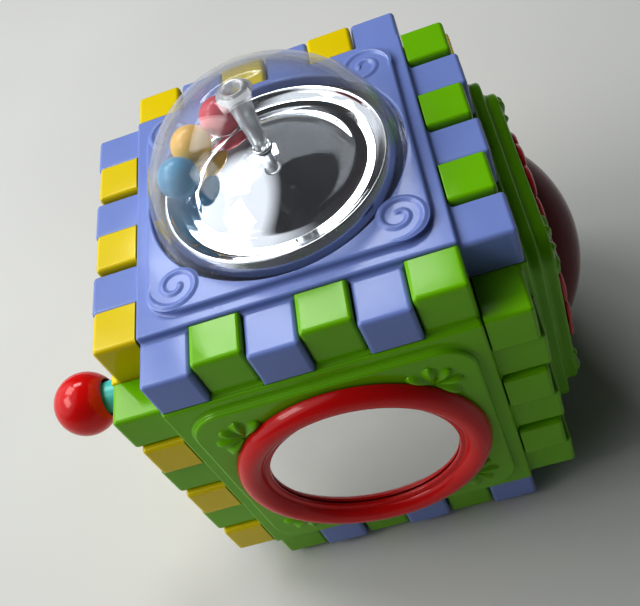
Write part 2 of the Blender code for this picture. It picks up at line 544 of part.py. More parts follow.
# ---- bottom: batteries, speaker and switch ----
def bottom_face():
    plates = [(PLATE_2_HALF, PLATE_2_ROUND, PLATE_2)]
    bottom = panel("bottom_panel", "bottom", "blue_plastic", plates, pegs=False)
    screws = [(su * PEG, sv * PEG) for su, sv in CORNERS]
    add(bottom, rods("case_bosses", screws, 0.0036, SLAB_FOOT, PLATE_2 - WALL + 0.001, "bottom", segments=10))
    cut(bottom, rods("case_bores", screws, 0.0016, 0.055, 0.085, "bottom", segments=8))
    cut(bottom, rods("case_counterbores", screws, 0.0031, PLATE_2 - 0.003, 0.085, "bottom", segments=12))
    opening = [(-DOOR_U - GAP, DOOR_U + GAP, DOOR_V0 - GAP, DOOR_V1 + GAP, 0.07, 0.085)]
    cut(bottom, boxes("door_opening", opening, "bottom"))
    slots = []
    for index in range(-3, 4):
        away = index * SLOT_PITCH
        half = math.sqrt(SLOT_REACH**2 - away**2)
        v = SPEAKER_V + away
        slots.append((-half, half, v - SLOT_HALF, v + SLOT_HALF, 0.07, 0.085))
    cut(bottom, boxes("speaker_slots", slots, "bottom"))
    slot_v = SWITCH_FINGER + SWITCH_TRAVEL + GAP
    slot = [(SWITCH_U - 0.0030, SWITCH_U + 0.0030, SWITCH_V - slot_v, SWITCH_V + slot_v, 0.07, 0.085)]
    cut(bottom, boxes("switch_slot", slot, "bottom"))
    for index, (u, v) in enumerate(screws, 1):
        screw(f"case_screw_{index}", u, v, PLATE_2 - 0.0008, 0.0535, "bottom", 0.0027, 0.0012)

    leaf = [(-DOOR_U, DOOR_U, DOOR_V0, DOOR_V1, 0.0764, PLATE_2 - GAP)]
    door = boxes("battery_door", leaf, "bottom", "blue_plastic")
    lock_v = DOOR_V1 - 0.0035
    cut(door, rods("door_bore", [(0, lock_v)], 0.0015, 0.07, 0.085, "bottom", segments=8))
    cut(door, rods("door_counterbore", [(0, lock_v)], 0.0026, 0.0772, 0.085, "bottom", segments=12))
    screw("door_screw", 0, lock_v, PLATE_2 - 0.0003, 0.0722, "bottom", 0.0022, 0.0011)

    box_u, box_v0, box_v1 = DOOR_U - 0.0005, DOOR_V0 + 0.0004, DOOR_V1 - 0.0004
    box_foot, box_top = 0.0625, 0.0761
    box = boxes("battery_box", [(-box_u, box_u, box_v0, box_v1, box_foot, box_top)], "bottom", "black_plastic")
    room_u = box_u - 0.0022
    room = [(-room_u, room_u, box_v0 + 0.0022, box_v1 - 0.0042, box_foot + 0.0015, 0.08)]
    cut(box, boxes("battery_hollow", room, "bottom"))
    add(box, rods("lock_boss", [(0, lock_v)], 0.0031, box_foot + 0.0005, box_top, "bottom", segments=10))
    cut(box, rods("lock_pilot", [(0, lock_v)], 0.0013, 0.0700, 0.08, "bottom", segments=8))
    shoulder = BATTERY_HALF - 0.0008
    for index, v in enumerate(BATTERY_ROWS, 1):
        tip = 1 if index % 2 else -1
        profile = [
            (0, BATTERY_HALF), (0.0019, BATTERY_HALF), (0.0019, shoulder), (BATTERY_RADIUS, shoulder),
            (BATTERY_RADIUS, -BATTERY_HALF), (0, -BATTERY_HALF),
        ]
        cell = turned(f"battery_{index}", profile, "bottom", "battery_jacket", 14, (0, v, BATTERY_AT))
        cell.rotation_euler = (0, tip * math.pi / 2, 0)
    for name, side in (("battery_contact_left", -1), ("battery_contact_right", 1)):
        near, far = sorted((side * 0.0236, side * 0.0242))
        boxes(name, [(near, far, 0.0060, 0.0370, 0.0650, 0.0750)], "bottom", "steel")

    cone = [(0, 0.0752), (0.006, 0.0752), (0.0145, 0.0760), (SPEAKER_RADIUS, 0.0762)]
    back = [(SPEAKER_RADIUS, 0.0744), (0.0150, 0.0738), (0.0095, 0.0700), (0.0095, 0.0640), (0, 0.0640)]
    profile = cone + back
    turned("speaker", profile, "bottom", "black_plastic", 24, (0, SPEAKER_V, 0))

    leaf = [(SWITCH_U - 0.0050, SWITCH_U + 0.0050, SWITCH_V - 0.0075, SWITCH_V + 0.0075, 0.0738, 0.0763)]
    slider = boxes("power_switch", leaf, "bottom", "black_plastic")
    near, far = -SWITCH_FINGER, SWITCH_FINGER
    finger = [(SWITCH_U + near, SWITCH_U + far, SWITCH_V + near, SWITCH_V + far, 0.0750, 0.0786)]
    add(slider, boxes("switch_finger", finger, "bottom"))

    board_far, board_near = FRAME_INSIDE - GAP, FRAME_INSIDE - GAP - 0.0016
    sheet = [(-0.0500, 0.0500, -0.028, 0.028, board_near, board_far)]
    board = boxes("circuit_board", sheet, "bottom", "board_green")
    lands = [(-0.0465, 0), (0.0465, 0)]
    cut(board, rods("board_holes", lands, 0.0016, 0.04, 0.055, "bottom", segments=8))
    profile = [(0, board_near - GAP), (0.006, board_near - GAP), (0.0048, 0.0475), (0, 0.0471)]
    turned("sound_chip", profile, "bottom", "black_plastic", 16, (0.012, 0.008, 0))


inner_frame()
top_face()
front_face()
right_face()
left_face()
back_face()
bottom_face()
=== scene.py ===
"""Baby activity cube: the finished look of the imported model, built round its bodies and nodes.

Every piece is made in the frame of the face that it is on, and then put in its place: u to the right and
v up as seen from outside, and n outwards from the middle of the cube. Sizes are in metres. The square of
the tab pattern, the cube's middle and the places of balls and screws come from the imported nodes.
"""
import json
import math

import bmesh
import bpy
from mathutils import Matrix, Vector


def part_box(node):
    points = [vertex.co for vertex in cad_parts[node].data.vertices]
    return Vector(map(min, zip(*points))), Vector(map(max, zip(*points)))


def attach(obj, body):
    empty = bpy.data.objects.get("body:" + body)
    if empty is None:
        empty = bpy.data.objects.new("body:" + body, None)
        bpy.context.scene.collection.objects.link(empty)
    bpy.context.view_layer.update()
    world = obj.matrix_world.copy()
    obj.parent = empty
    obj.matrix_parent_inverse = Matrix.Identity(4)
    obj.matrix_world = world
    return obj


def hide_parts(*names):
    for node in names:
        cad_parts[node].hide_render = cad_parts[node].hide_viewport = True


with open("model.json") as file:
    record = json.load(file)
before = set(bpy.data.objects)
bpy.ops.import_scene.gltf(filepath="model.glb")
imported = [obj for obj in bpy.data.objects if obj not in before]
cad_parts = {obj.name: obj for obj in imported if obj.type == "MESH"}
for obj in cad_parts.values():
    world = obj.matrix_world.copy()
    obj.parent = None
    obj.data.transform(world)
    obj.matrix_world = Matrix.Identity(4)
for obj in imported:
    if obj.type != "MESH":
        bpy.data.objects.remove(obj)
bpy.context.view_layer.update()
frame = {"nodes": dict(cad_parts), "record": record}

# ---- sizes ----
CELL = (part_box("top_panel")[1].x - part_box("top_panel")[0].x) / 8     # one square of the tab pattern
MIDDLE = (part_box("inner_frame")[0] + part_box("inner_frame")[1]) / 2
SEAM = 0.0003                                   # the gap between neighbouring pieces
WALL = 0.0026
CORE = 3 * CELL - SEAM / 2                      # half the side of a panel's slab
SLAB_FOOT, SLAB_TOP = 3 * CELL + SEAM, 4.04 * CELL
PLATE_TOP = 4.17 * CELL                         # of the raised plate on a slab
RIGHT_STEP, RIGHT_TOP = 4.3 * CELL, 4.58 * CELL       # of the right face's two plates
TAB_FACE, TAB_END = 3.9 * CELL, 4 * CELL
CUT_FROM, CUT_TO = 0.06, 0.09                   # how far a cutter reaches through a panel
CLOSE = 1e-5                                    # places nearer than this count as the same

FACES = {
    "top": ((1, 0, 0), (0, 0, 1)), "bottom": ((1, 0, 0), (0, 0, -1)),
    "front": ((1, 0, 0), (0, -1, 0)), "back": ((-1, 0, 0), (0, 1, 0)),
    "left": ((0, -1, 0), (-1, 0, 0)), "right": ((0, 1, 0), (1, 0, 0)),
}


def face_matrix(face):
    """Takes a point from the frame of a face, (u, v, n), to the world."""
    u, n = (Vector(axis) for axis in FACES[face])
    turn = Matrix((u, n.cross(u), n)).transposed()
    return Matrix.Translation(MIDDLE) @ turn.to_4x4()


# ---- materials ----
def colour(red, green, blue):
    """A linear colour from its sRGB values, 0 to 255."""
    return tuple(
        ((c / 255 + 0.055) / 1.055) ** 2.4 if c > 10 else c / 255 / 12.92 for c in (red, green, blue)
    )


def shade(rgb, factor):
    return (*(min(1, channel * factor) for channel in rgb), 1)


def nodes_of(name):
    made = bpy.data.materials.new(name)
    made.use_nodes = True
    tree = made.node_tree
    return made, tree, tree.nodes["Principled BSDF"]


def noise(tree, scale, detail, roughness=0.5):
    coordinates = tree.nodes.get("Texture Coordinate") or tree.nodes.new("ShaderNodeTexCoord")
    made = tree.nodes.new("ShaderNodeTexNoise")
    made.inputs["Scale"].default_value = scale
    made.inputs["Detail"].default_value = detail
    made.inputs["Roughness"].default_value = roughness
    tree.links.new(coordinates.outputs["Object"], made.inputs["Vector"])
    return made.outputs["Fac"]


def ramp(tree, source, low, high):
    """Runs from one colour, up to 0.3 of the source, to another one, from 0.7 on."""
    made = tree.nodes.new("ShaderNodeValToRGB")
    for element, position, value in zip(made.color_ramp.elements, (0.3, 0.7), (low, high)):
        element.position = position
        element.color = value
    tree.links.new(source, made.inputs["Fac"])
    return made.outputs["Color"]


def span(tree, source, low, high, to_low, to_high):
    """Maps low to high onto to_low to to_high, and holds its ends."""
    made = tree.nodes.new("ShaderNodeMapRange")
    for name, value in zip(("From Min", "From Max", "To Min", "To Max"), (low, high, to_low, to_high)):
        made.inputs[name].default_value = value
    tree.links.new(source, made.inputs["Value"])
    return made.outputs["Result"]


def bump(tree, shader, height, strength, distance):
    made = tree.nodes.new("ShaderNodeBump")
    made.inputs["Strength"].default_value = strength
    made.inputs["Distance"].default_value = distance
    tree.links.new(height, made.inputs["Height"])
    tree.links.new(made.outputs["Normal"], shader.inputs["Normal"])


def mixed(tree, share, first, second):
    """A share of the second shader over the first one."""
    made = tree.nodes.new("ShaderNodeMixShader")
    tree.links.new(share, made.inputs["Fac"])
    tree.links.new(first, made.inputs[1])
    tree.links.new(second, made.inputs[2])
    return made.outputs["Shader"]


def plastic(name, rgb, low=0.09, high=0.2, coat=0.0, subsurface=0.0, shine=0.3):
    """Moulded plastic: a slow drift of colour, finger-dulled patches and a moulding's faint ripple."""
    made, tree, shader = nodes_of(name)
    drift = ramp(tree, noise(tree, 14, 3), shade(rgb, 0.93), shade(rgb, 1.06))
    tree.links.new(drift, shader.inputs["Base Color"])
    dull = span(tree, noise(tree, 45, 5, 0.6), 0.35, 0.7, low, high)
    tree.links.new(dull, shader.inputs["Roughness"])
    shader.inputs["Coat Weight"].default_value = coat
    shader.inputs["Coat Roughness"].default_value = 0.08
    shader.inputs["Specular IOR Level"].default_value = shine
    if subsurface:
        shader.inputs["Subsurface Weight"].default_value = subsurface
        shader.inputs["Subsurface Radius"].default_value = tuple(0.3 + channel for channel in rgb)
        shader.inputs["Subsurface Scale"].default_value = 0.003
    bump(tree, shader, noise(tree, 260, 2), 0.15, 0.00012)
    return made


def metal(name, rgb, low, high, ripple, scale):
    """Metal or plating: patches that are a little duller, and a ripple of a given strength and scale."""
    made, tree, shader = nodes_of(name)
    drift = ramp(tree, noise(tree, 30, 2), shade(rgb, 0.97), shade(rgb, 1.02))
    tree.links.new(drift, shader.inputs["Base Color"])
    shader.inputs["Metallic"].default_value = 1
    tree.links.new(span(tree, noise(tree, 120, 4), 0.35, 0.7, low, high), shader.inputs["Roughness"])
    bump(tree, shader, noise(tree, scale, 1), ripple, 0.0004)
    return made


def clear(name, rgb):
    """Thin clear plastic: light goes straight through it, and at a glance it shines and hazes more."""
    dull, tinge, falloff = 0.03, 0.25, 3
    shine_facing, shine_edge = 0.02, 0.6
    haze_facing, haze_edge = 0.01, 0.3
    made, tree, shader = nodes_of(name)
    shader.inputs["Base Color"].default_value = (*rgb, 1)
    patches = span(tree, noise(tree, 40, 4), 0.4, 0.75, dull, dull + 0.05)
    tree.links.new(patches, shader.inputs["Roughness"])
    through = tree.nodes.new("ShaderNodeBsdfTransparent")
    through.inputs["Color"].default_value = (*(1 - (1 - channel) * tinge for channel in rgb), 1)
    gloss = tree.nodes.new("ShaderNodeBsdfGlossy")
    gloss.inputs["Roughness"].default_value = dull
    glance = tree.nodes.new("ShaderNodeLayerWeight")
    glance.inputs["Blend"].default_value = 0.5
    steep = tree.nodes.new("ShaderNodeMath")
    steep.operation = "POWER"
    steep.inputs[1].default_value = falloff
    tree.links.new(glance.outputs["Facing"], steep.inputs[0])
    shine = span(tree, steep.outputs["Value"], 0, 1, shine_facing, shine_edge)
    shell = mixed(tree, shine, through.outputs["BSDF"], gloss.outputs["BSDF"])
    haze = span(tree, steep.outputs["Value"], 0, 1, haze_facing, haze_edge)
    hazed = mixed(tree, haze, shell, shader.outputs["BSDF"])
    tree.links.new(hazed, tree.nodes["Material Output"].inputs["Surface"])
    return made


def glassy(name, rgb, through, dull):
    """Thick clear plastic that bends what is seen through it, and is milky where through is under 1."""
    made, tree, shader = nodes_of(name)
    drift = ramp(tree, noise(tree, 60, 2), shade(rgb, 0.96), shade(rgb, 1.0))
    tree.links.new(drift, shader.inputs["Base Color"])
    patches = span(tree, noise(tree, 90, 3), 0.4, 0.7, dull, dull + 0.04)
    tree.links.new(patches, shader.inputs["Roughness"])
    shader.inputs["IOR"].default_value = 1.49
    shader.inputs["Transmission Weight"].default_value = through
    return made


BLUE = plastic("Periwinkle plastic", colour(128, 146, 205))
GREEN = plastic("Lime plastic", colour(118, 184, 8))
YELLOW = plastic("Yellow plastic", colour(224, 201, 6))
RED = plastic("Red plastic", colour(208, 18, 18), low=0.1, coat=0.25)
TEAL = plastic("Teal plastic", colour(84, 192, 190))
BALL_BLUE = plastic("Blue ball plastic", colour(0, 146, 194), low=0.15, high=0.25)
BALL_YELLOW = plastic("Yellow ball plastic", colour(240, 184, 12), low=0.15, high=0.25)
BALL_RED = plastic("Red ball plastic", colour(214, 40, 66), low=0.15, high=0.25)
LENS_RED = plastic("Dark red lens", colour(104, 8, 20), low=0.06, high=0.14, subsurface=0.3, shine=0.07)
BLACK = plastic("Black plastic", colour(26, 26, 27), low=0.35, high=0.5)
GREY = plastic("Grey plastic", colour(96, 97, 100), low=0.4, high=0.55)
BOARD = plastic("Circuit board", colour(22, 92, 48), low=0.3, high=0.45, coat=0.2)
CHROME = metal("Plated plastic", (0.86, 0.87, 0.89), 0.015, 0.05, 0.12, 35)
MIRROR = metal("Mirror sheet", (0.96, 0.96, 0.95), 0.05, 0.09, 0.05, 18)
STEEL = metal("Zinc-plated steel", (0.60, 0.60, 0.62), 0.22, 0.35, 0.3, 400)
JACKET = metal("Battery jacket", (0.10, 0.10, 0.12), 0.25, 0.35, 0.1, 80)
CLEAR = clear("Clear plastic", (0.93, 0.95, 0.97))
PILLAR = glassy("Clear pillar plastic", (0.96, 0.97, 0.98), through=0.7, dull=0.1)


# ---- outlines and sections ----
def soft(corners, steps=5):
    """An open path of (a, b, radius) corners, with each corner that has a radius made an arc."""
    points = []
    for index, (a, b, radius) in enumerate(corners):
        here = Vector((a, b))
        if radius <= 0 or index in (0, len(corners) - 1):
            points.append((a, b))
            continue
        before = Vector(corners[index - 1][:2]) - here
        after = Vector(corners[index + 1][:2]) - here
        half = before.angle(after) / 2
        reach = min(radius / math.tan(half), before.length * 0.499, after.length * 0.499)
        size = reach * math.tan(half)
        middle = here + (before.normalized() + after.normalized()).normalized() * (size / math.sin(half))
        start = here + before.normalized() * reach - middle
        end = here + after.normalized() * reach - middle
        sweep = start.angle_signed(end)
        for step in range(steps + 1):
            turn = -sweep * step / steps
            points.append((middle.x + start.x * math.cos(turn) - start.y * math.sin(turn),
                           middle.y + start.x * math.sin(turn) + start.y * math.cos(turn)))
    return points


def square_ring(half, corner):
    """A rounded square, as points spaced evenly in angle along each side and round each corner."""
    side_steps, corner_steps = 16, 10
    corner = min(corner, half * 0.999)
    reach = math.atan2(half - corner, half)
    quarter = [(half, half * math.tan(-reach + 2 * reach * i / side_steps)) for i in range(side_steps + 1)]
    for step in range(1, corner_steps):
        turn = math.pi / 2 * step / corner_steps
        quarter.append((half - corner + corner * math.cos(turn), half - corner + corner * math.sin(turn)))
    points = []
    for _ in range(4):
        points += quarter
        quarter = [(-v, u) for u, v in quarter]
    return points


def circle_like(ring, radius):
    """A circle with a point at the angle of each of the ring's points."""
    return [(radius * u / math.hypot(u, v), radius * v / math.hypot(u, v)) for u, v in ring]


def box_like(ring, half_u, half_v, corner):
    """A rounded rectangle with a point at the angle of each of the ring's points."""
    points = []
    for u, v in ring:
        grow = min(half_u / max(abs(u), 1e-9), half_v / max(abs(v), 1e-9))
        pu, pv = u * grow, v * grow
        over_u, over_v = abs(pu) - (half_u - corner), abs(pv) - (half_v - corner)
        if over_u > 0 and over_v > 0:
            size = math.hypot(over_u, over_v)
            pu = math.copysign(half_u - corner + over_u * corner / size, pu)
            pv = math.copysign(half_v - corner + over_v * corner / size, pv)
        points.append((pu, pv))
    return points


# ---- meshes ----
def loft(rings, tube=False, bm=None):
    """A skin over rings of 3-D points: closed on itself if it is a tube, else capped."""
    bm = bm or bmesh.new()
    made = [[bm.verts.new(point) for point in ring] for ring in rings]
    pairs = list(zip(made, made[1:] + made[:1])) if tube else list(zip(made, made[1:]))
    for lower, upper in pairs:
        for index in range(len(lower)):
            after = (index + 1) % len(lower)
            bm.faces.new((lower[index], lower[after], upper[after], upper[index]))
    if not tube:
        bm.faces.new(reversed(made[0]))
        bm.faces.new(made[-1])
    return bm


def lathe(profile, steps, at=(0, 0), bm=None):
    """A section of (r, n) points turned about n. Points on the axis close the shape there."""
    bm = bm or bmesh.new()
    rings = []
    for r, n in profile:
        if r < 1e-6:
            rings.append([bm.verts.new((at[0], at[1], n))])
        else:
            turns = [2 * math.pi * i / steps for i in range(steps)]
            rings.append([bm.verts.new((at[0] + r * math.cos(t), at[1] + r * math.sin(t), n)) for t in turns])
    pairs = list(zip(rings, rings[1:]))
    if len(rings[0]) > 1:
        pairs.append((rings[-1], rings[0]))
    for first, second in pairs:
        if len(first) == 1 and len(second) == 1:
            continue
        for index in range(steps):
            after = (index + 1) % steps
            corners = [first[index % len(first)], first[after % len(first)],
                       second[after % len(second)], second[index % len(second)]]
            bm.faces.new(list(dict.fromkeys(corners)))
    return bm


def cells(boxes):
    """The outer skin of overlapping boxes (u0, u1, v0, v1, n0, n1), with flat sides in one piece."""
    lines = [sorted({round(box[axis + end], 7) for box in boxes for end in (0, 1)}) for axis in (0, 2, 4)]
    sizes = [len(line) - 1 for line in lines]

    def filled(i, j, k):
        if not all(0 <= index < size for index, size in zip((i, j, k), sizes)):
            return False
        u, v, n = ((line[index] + line[index + 1]) / 2 for line, index in zip(lines, (i, j, k)))
        return any(b[0] < u < b[1] and b[2] < v < b[3] and b[4] < n < b[5] for b in boxes)

    bm = bmesh.new()
    corners = {}

    def corner(key):
        if key not in corners:
            corners[key] = bm.verts.new([line[index] for line, index in zip(lines, key)])
        return corners[key]

    for i in range(sizes[0]):
        for j in range(sizes[1]):
            for k in range(sizes[2]):
                if not filled(i, j, k):
                    continue
                for axis in range(3):
                    for side in (0, 1):
                        beside = [i, j, k]
                        beside[axis] += 2 * side - 1
                        if filled(*beside):
                            continue
                        quad = []
                        for a, b in ((0, 0), (1, 0), (1, 1), (0, 1)):
                            key = [i, j, k]
                            key[axis] += side
                            key[(axis + 1) % 3] += a
                            key[(axis + 2) % 3] += b
                            quad.append(corner(tuple(key)))
                        bm.faces.new(quad if side else reversed(quad))
    bmesh.ops.dissolve_limit(bm, angle_limit=0.01, verts=bm.verts[:], edges=bm.edges[:])
    return bm


def join(target, other):
    """Adds a bmesh's faces to another one, and frees it."""
    data = bpy.data.meshes.new("joined")
    other.to_mesh(data)
    other.free()
    target.from_mesh(data)
    bpy.data.meshes.remove(data)
    return target


def solid(bm, name="solid"):
    """A loose object of a bmesh, for a Boolean."""
    data = bpy.data.meshes.new(name)
    bmesh.ops.recalc_face_normals(bm, faces=bm.faces)
    bm.to_mesh(data)
    bm.free()
    made = bpy.data.objects.new(name, data)
    bpy.context.scene.collection.objects.link(made)
    return made


def bevelled(bm, width_of):
    """Rounds a cells() skin: width_of says how far for an edge's two ends, from 0 to leave it."""
    made = solid(bm)
    widths = made.data.attributes.new("bevel_weight_edge", "FLOAT", "EDGE")
    edges, verts, polygons = made.data.edges, made.data.vertices, made.data.polygons
    normals = {}
    for polygon in polygons:
        for key in polygon.edge_keys:
            normals.setdefault(key, []).append(polygon.normal)
    largest = 0.002
    for index, edge in enumerate(edges):
        pair = normals[tuple(sorted(edge.vertices))]
        sharp = len(pair) == 2 and pair[0].dot(pair[1]) < 0.5
        width = width_of(*(verts[v].co for v in edge.vertices)) if sharp else 0
        widths.data[index].value = width / largest
    modifier = made.modifiers.new("Round", "BEVEL")
    modifier.limit_method = "WEIGHT"
    modifier.width = largest
    modifier.segments = 3
    modifier.use_clamp_overlap = False
    return evaluated(made)


def evaluated(made):
    """A bmesh of an object with its modifiers applied. The object goes."""
    graph = bpy.context.evaluated_depsgraph_get()
    bm = bmesh.new()
    bm.from_mesh(made.evaluated_get(graph).to_mesh())
    bpy.data.objects.remove(made)
    return bm


def cut(bm, cutters):
    """A bmesh less the cutters, which it uses up."""
    made = solid(bm)
    others = []
    for index, cutter in enumerate(cutters):
        other = solid(cutter, f"cutter_{index}")
        modifier = made.modifiers.new(f"Cut {index}", "BOOLEAN")
        modifier.operation = "DIFFERENCE"
        modifier.object = other
        modifier.solver = "MANIFOLD"
        others.append(other)
    done = evaluated(made)
    for other in others:
        bpy.data.objects.remove(other)
    return done


def block(u0, u1, v0, v1, n0, n1):
    return cells([(u0, u1, v0, v1, n0, n1)])


def piece(name, bm, face, look, body, nodes, slot, sharp, weighted=False):
    """A finished piece: shaded, in its material, riding on its body, and standing in for its CAD nodes."""
    data = bpy.data.meshes.new(name)
    bmesh.ops.recalc_face_normals(bm, faces=bm.faces)
    bm.to_mesh(data)
    bm.free()
    data.transform(face_matrix(face))
    data.shade_smooth()
    data.set_sharp_from_angle(angle=math.radians(sharp))
    data.materials.append(look)
    made = bpy.data.objects.new(name, data)
    bpy.context.scene.collection.objects.link(made)
    if weighted:
        modifier = made.modifiers.new("Flat sides", "WEIGHTED_NORMAL")
        modifier.keep_sharp = True
        modifier.weight = 80
    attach(made, body)
    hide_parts(*nodes)


# ---- reliefs on the plates ----
SUNK, BURIED = 0.00003, 0.0006        # how far a relief's foot and its closed underside lie below the plate


def ridge(path, widths, heights, level, bm):
    """A low ridge with a soft foot along a path of (u, v) points, closed below the plate that it is on."""
    across = 10
    rings = []
    for index, (point, width, height) in enumerate(zip(path, widths, heights)):
        before, after = path[max(index - 1, 0)], path[min(index + 1, len(path) - 1)]
        side = Vector((before[1] - after[1], after[0] - before[0])).normalized()
        ring = []
        for step in range(across + 1):
            t = 2 * step / across - 1
            rise = height * (0.5 + 0.5 * math.cos(math.pi * t)) - SUNK
            ring.append((point[0] + side.x * width * t, point[1] + side.y * width * t, level + rise))
        for end in (1, -1):
            ring.append((point[0] + side.x * width * end, point[1] + side.y * width * end, level - BURIED))
        rings.append(ring)
    return loft(rings, bm=bm)


def quarter(point, turns):
    """A point turned about the middle of the face by quarters of a turn."""
    for _ in range(turns):
        point = (-point[1], point[0])
    return point


def volutes(level, bm):
    """A spiral ridge in each corner of a plate."""
    middle, steps = -2.13 * CELL, 84
    start, sweep = 150, 600                      # in degrees
    width, height = 0.095 * CELL, 0.0006
    for turns in range(4):
        path, widths, heights = [], [], []
        for step in range(steps + 1):
            t = step / steps
            angle = math.radians(start + sweep * t)
            radius = CELL * (0.50 * (1 - t) ** 0.9 + 0.05)
            u, v = middle + radius * math.cos(angle), middle + radius * math.sin(angle)
            path.append(quarter((u, v), turns))
            fade = min(1, t / 0.12, (1 - t) / 0.05 + 0.25)
            widths.append(width * (0.35 + 0.65 * fade))
            heights.append(height * fade)
        ridge(path, widths, heights, level, bm)


def fans(level, bm):
    """Five rounded lobes in each corner of a plate, spread from a root nearer the middle."""
    root = (-1.83 * CELL, 1.83 * CELL)
    lengths = [share * CELL for share in (0.60, 0.57, 0.54, 0.57, 0.60)]
    middle, between = 135, 44                    # the direction of the middle lobe and the pitch, in degrees
    width, height, steps = 0.165, 0.0018, 22
    shoulder = 0.68                              # where along a lobe it is widest
    for turns in range(4):
        for lobe, long in enumerate(lengths):
            angle = math.radians(middle + between * (lobe - 2))
            path, widths, heights = [], [], []
            for step in range(steps + 1):
                t = step / steps
                reach = long * (0.10 + 0.90 * t)
                u, v = root[0] + reach * math.cos(angle), root[1] + reach * math.sin(angle)
                path.append(quarter((u, v), turns))
                swell = 0.30 + 0.70 * math.sin(math.pi / 2 * min(1, t / shoulder)) ** 1.3
                close = math.sqrt(max(0, 1 - (max(0, t - shoulder) / (1 - shoulder)) ** 2))
                widths.append(CELL * max(0.012, width * swell * close))
                heights.append(height * max(0.03, swell * close))
            ridge(path, widths, heights, level, bm)


# ---- panels ----
TAB_ROUND, STEP_ROUND, RIM_ROUND = 0.0017, 0.0011, 0.0003
PLATE_HALF, PLATE_CORNER, PLATE_ROUND = 2.72 * CELL, 0.7 * CELL, 0.0012
DOME_HOLE, MIRROR_HOLE, BUTTON_HOLE, CRANK_HOLE = 0.0498, 0.0376, 0.0381, 0.0062
WINDOW_U, WINDOW_V, WINDOW_CORNER = 0.032, 0.0238, 0.0015       # the back face's opening, as halves


def quarter_boxes(u0, u1, v0, v1, n0, n1):
    """A box on each of the four sides of a face."""
    return [
        (u0, u1, v0, v1, n0, n1), (-v1, -v0, u0, u1, n0, n1),
        (-u1, -u0, -v1, -v0, n0, n1), (v0, v1, -u1, -u0, n0, n1),
    ]


def tab_boxes(inset, end, foot, face, root):
    """The twelve tabs of a panel, three on each side, drawn in by inset."""
    made = []
    for cell in (0, 2, 4):
        start = (cell - 3) * CELL + SEAM / 2 + inset
        made += quarter_boxes(start, start + CELL - SEAM - 2 * inset, -end, -root, foot, face)
    return made


def panel_block():
    """A panel's slab and tabs, rounded, and hollow from the inside."""
    boxes = [(-CORE, CORE, -CORE, CORE, SLAB_FOOT, SLAB_TOP)]
    boxes += tab_boxes(0, TAB_END, SLAB_FOOT, TAB_FACE, CORE)

    def width(first, second):
        """Nearly sharp round the open side, less round on the slab's top, and full round on the tabs."""
        if min(first.z, second.z) < SLAB_FOOT + CLOSE:
            return RIM_ROUND if abs(first.z - second.z) < CLOSE else TAB_ROUND
        on_slab = all(max(abs(end.x), abs(end.y)) < CORE + CLOSE for end in (first, second))
        return STEP_ROUND if on_slab else TAB_ROUND

    outer = bevelled(cells(boxes), width)
    inside, below = CORE - WALL, SLAB_FOOT - 0.001
    hollow = [(-inside, inside, -inside, inside, below, SLAB_TOP - WALL)]
    hollow += tab_boxes(WALL, TAB_END - WALL, below, TAB_FACE - WALL, inside)
    return cut(outer, [cells(hollow)])


def plate(half, corner, low, high, top_round, foot_round, hole=None, bm=None):
    """A raised plate with a rounded edge and a soft foot.

    hole makes the ring of points round an opening from the points of the plate's own outline.
    """
    foot, buried, reach = foot_round * 1.8, 0.0008, 0.004
    section = soft([
        (foot, low - buried, 0), (foot, low - SUNK, 0), (0, low, foot_round), (0, high, top_round),
        (-reach, high, 0),
    ], 6)
    rings = []
    for offset, level in section[:-1]:
        rings.append([(u, v, level) for u, v in square_ring(half + offset, corner + offset)])
    if hole is None:
        return loft(rings, bm=bm)
    base, edge, steps = square_ring(half, corner), 0.0008, 4
    for step in range(steps + 1):
        turn = math.pi / 2 * step / steps
        level = high - edge * (1 - math.cos(turn))
        rings.append([(u, v, level) for u, v in hole(base, edge * (1 - math.sin(turn)))])
    rings.append([(u, v, low - buried) for u, v in hole(base, 0)])
    return loft(rings, tube=True, bm=bm)


def round_hole(radius):
    return lambda base, grow: circle_like(base, radius + grow)


def window_hole(base, grow):
    return box_like(base, WINDOW_U + grow, WINDOW_V + grow, WINDOW_CORNER + grow)


def disc(radius, n0=CUT_FROM, n1=CUT_TO, at=(0, 0), steps=96):
    return lathe([(0, n1), (radius, n1), (radius, n0), (0, n0)], steps, at)


def make_panel(face, look, slot, plates, relief, cutter):
    """plates: (half side, corner, low, high, rounding, hole). relief goes on the last one."""
    bm = cut(panel_block(), [cutter])
    for half, corner, low, high, top_round, hole in plates:
        plate(half, corner, low, high, top_round, top_round * 1.1, hole, bm)
    relief(plates[-1][3], bm)
    name = face + "_panel"
    piece(name + "_moulding", bm, face, look, "case", [name], slot, sharp=50, weighted=True)


def panels():
    """The five panels that have an opening in the middle."""
    window = block(-WINDOW_U, WINDOW_U, -WINDOW_V, WINDOW_V, CUT_FROM, CUT_TO)
    for face, look, slot, hole, relief, cutter in (
        ("top", BLUE, "blue_plastic", round_hole(DOME_HOLE), volutes, disc(DOME_HOLE)),
        ("front", GREEN, "green_plastic", round_hole(MIRROR_HOLE), fans, disc(MIRROR_HOLE)),
        ("left", YELLOW, "yellow_plastic", round_hole(CRANK_HOLE), fans, disc(CRANK_HOLE)),
        ("back", YELLOW, "yellow_plastic", window_hole, volutes, window),
    ):
        plates = [(PLATE_HALF, PLATE_CORNER, SLAB_TOP, PLATE_TOP, PLATE_ROUND, hole)]
        make_panel(face, look, slot, plates, relief, cutter)
    hole = round_hole(BUTTON_HOLE)
    steps = [
        (2.7 * CELL, 0.65 * CELL, SLAB_TOP, RIGHT_STEP, 0.0016, hole),
        (2.45 * CELL, 0.6 * CELL, RIGHT_STEP, RIGHT_TOP, 0.0018, hole),
    ]
    make_panel("right", GREEN, "green_plastic", steps, fans, disc(BUTTON_HOLE))


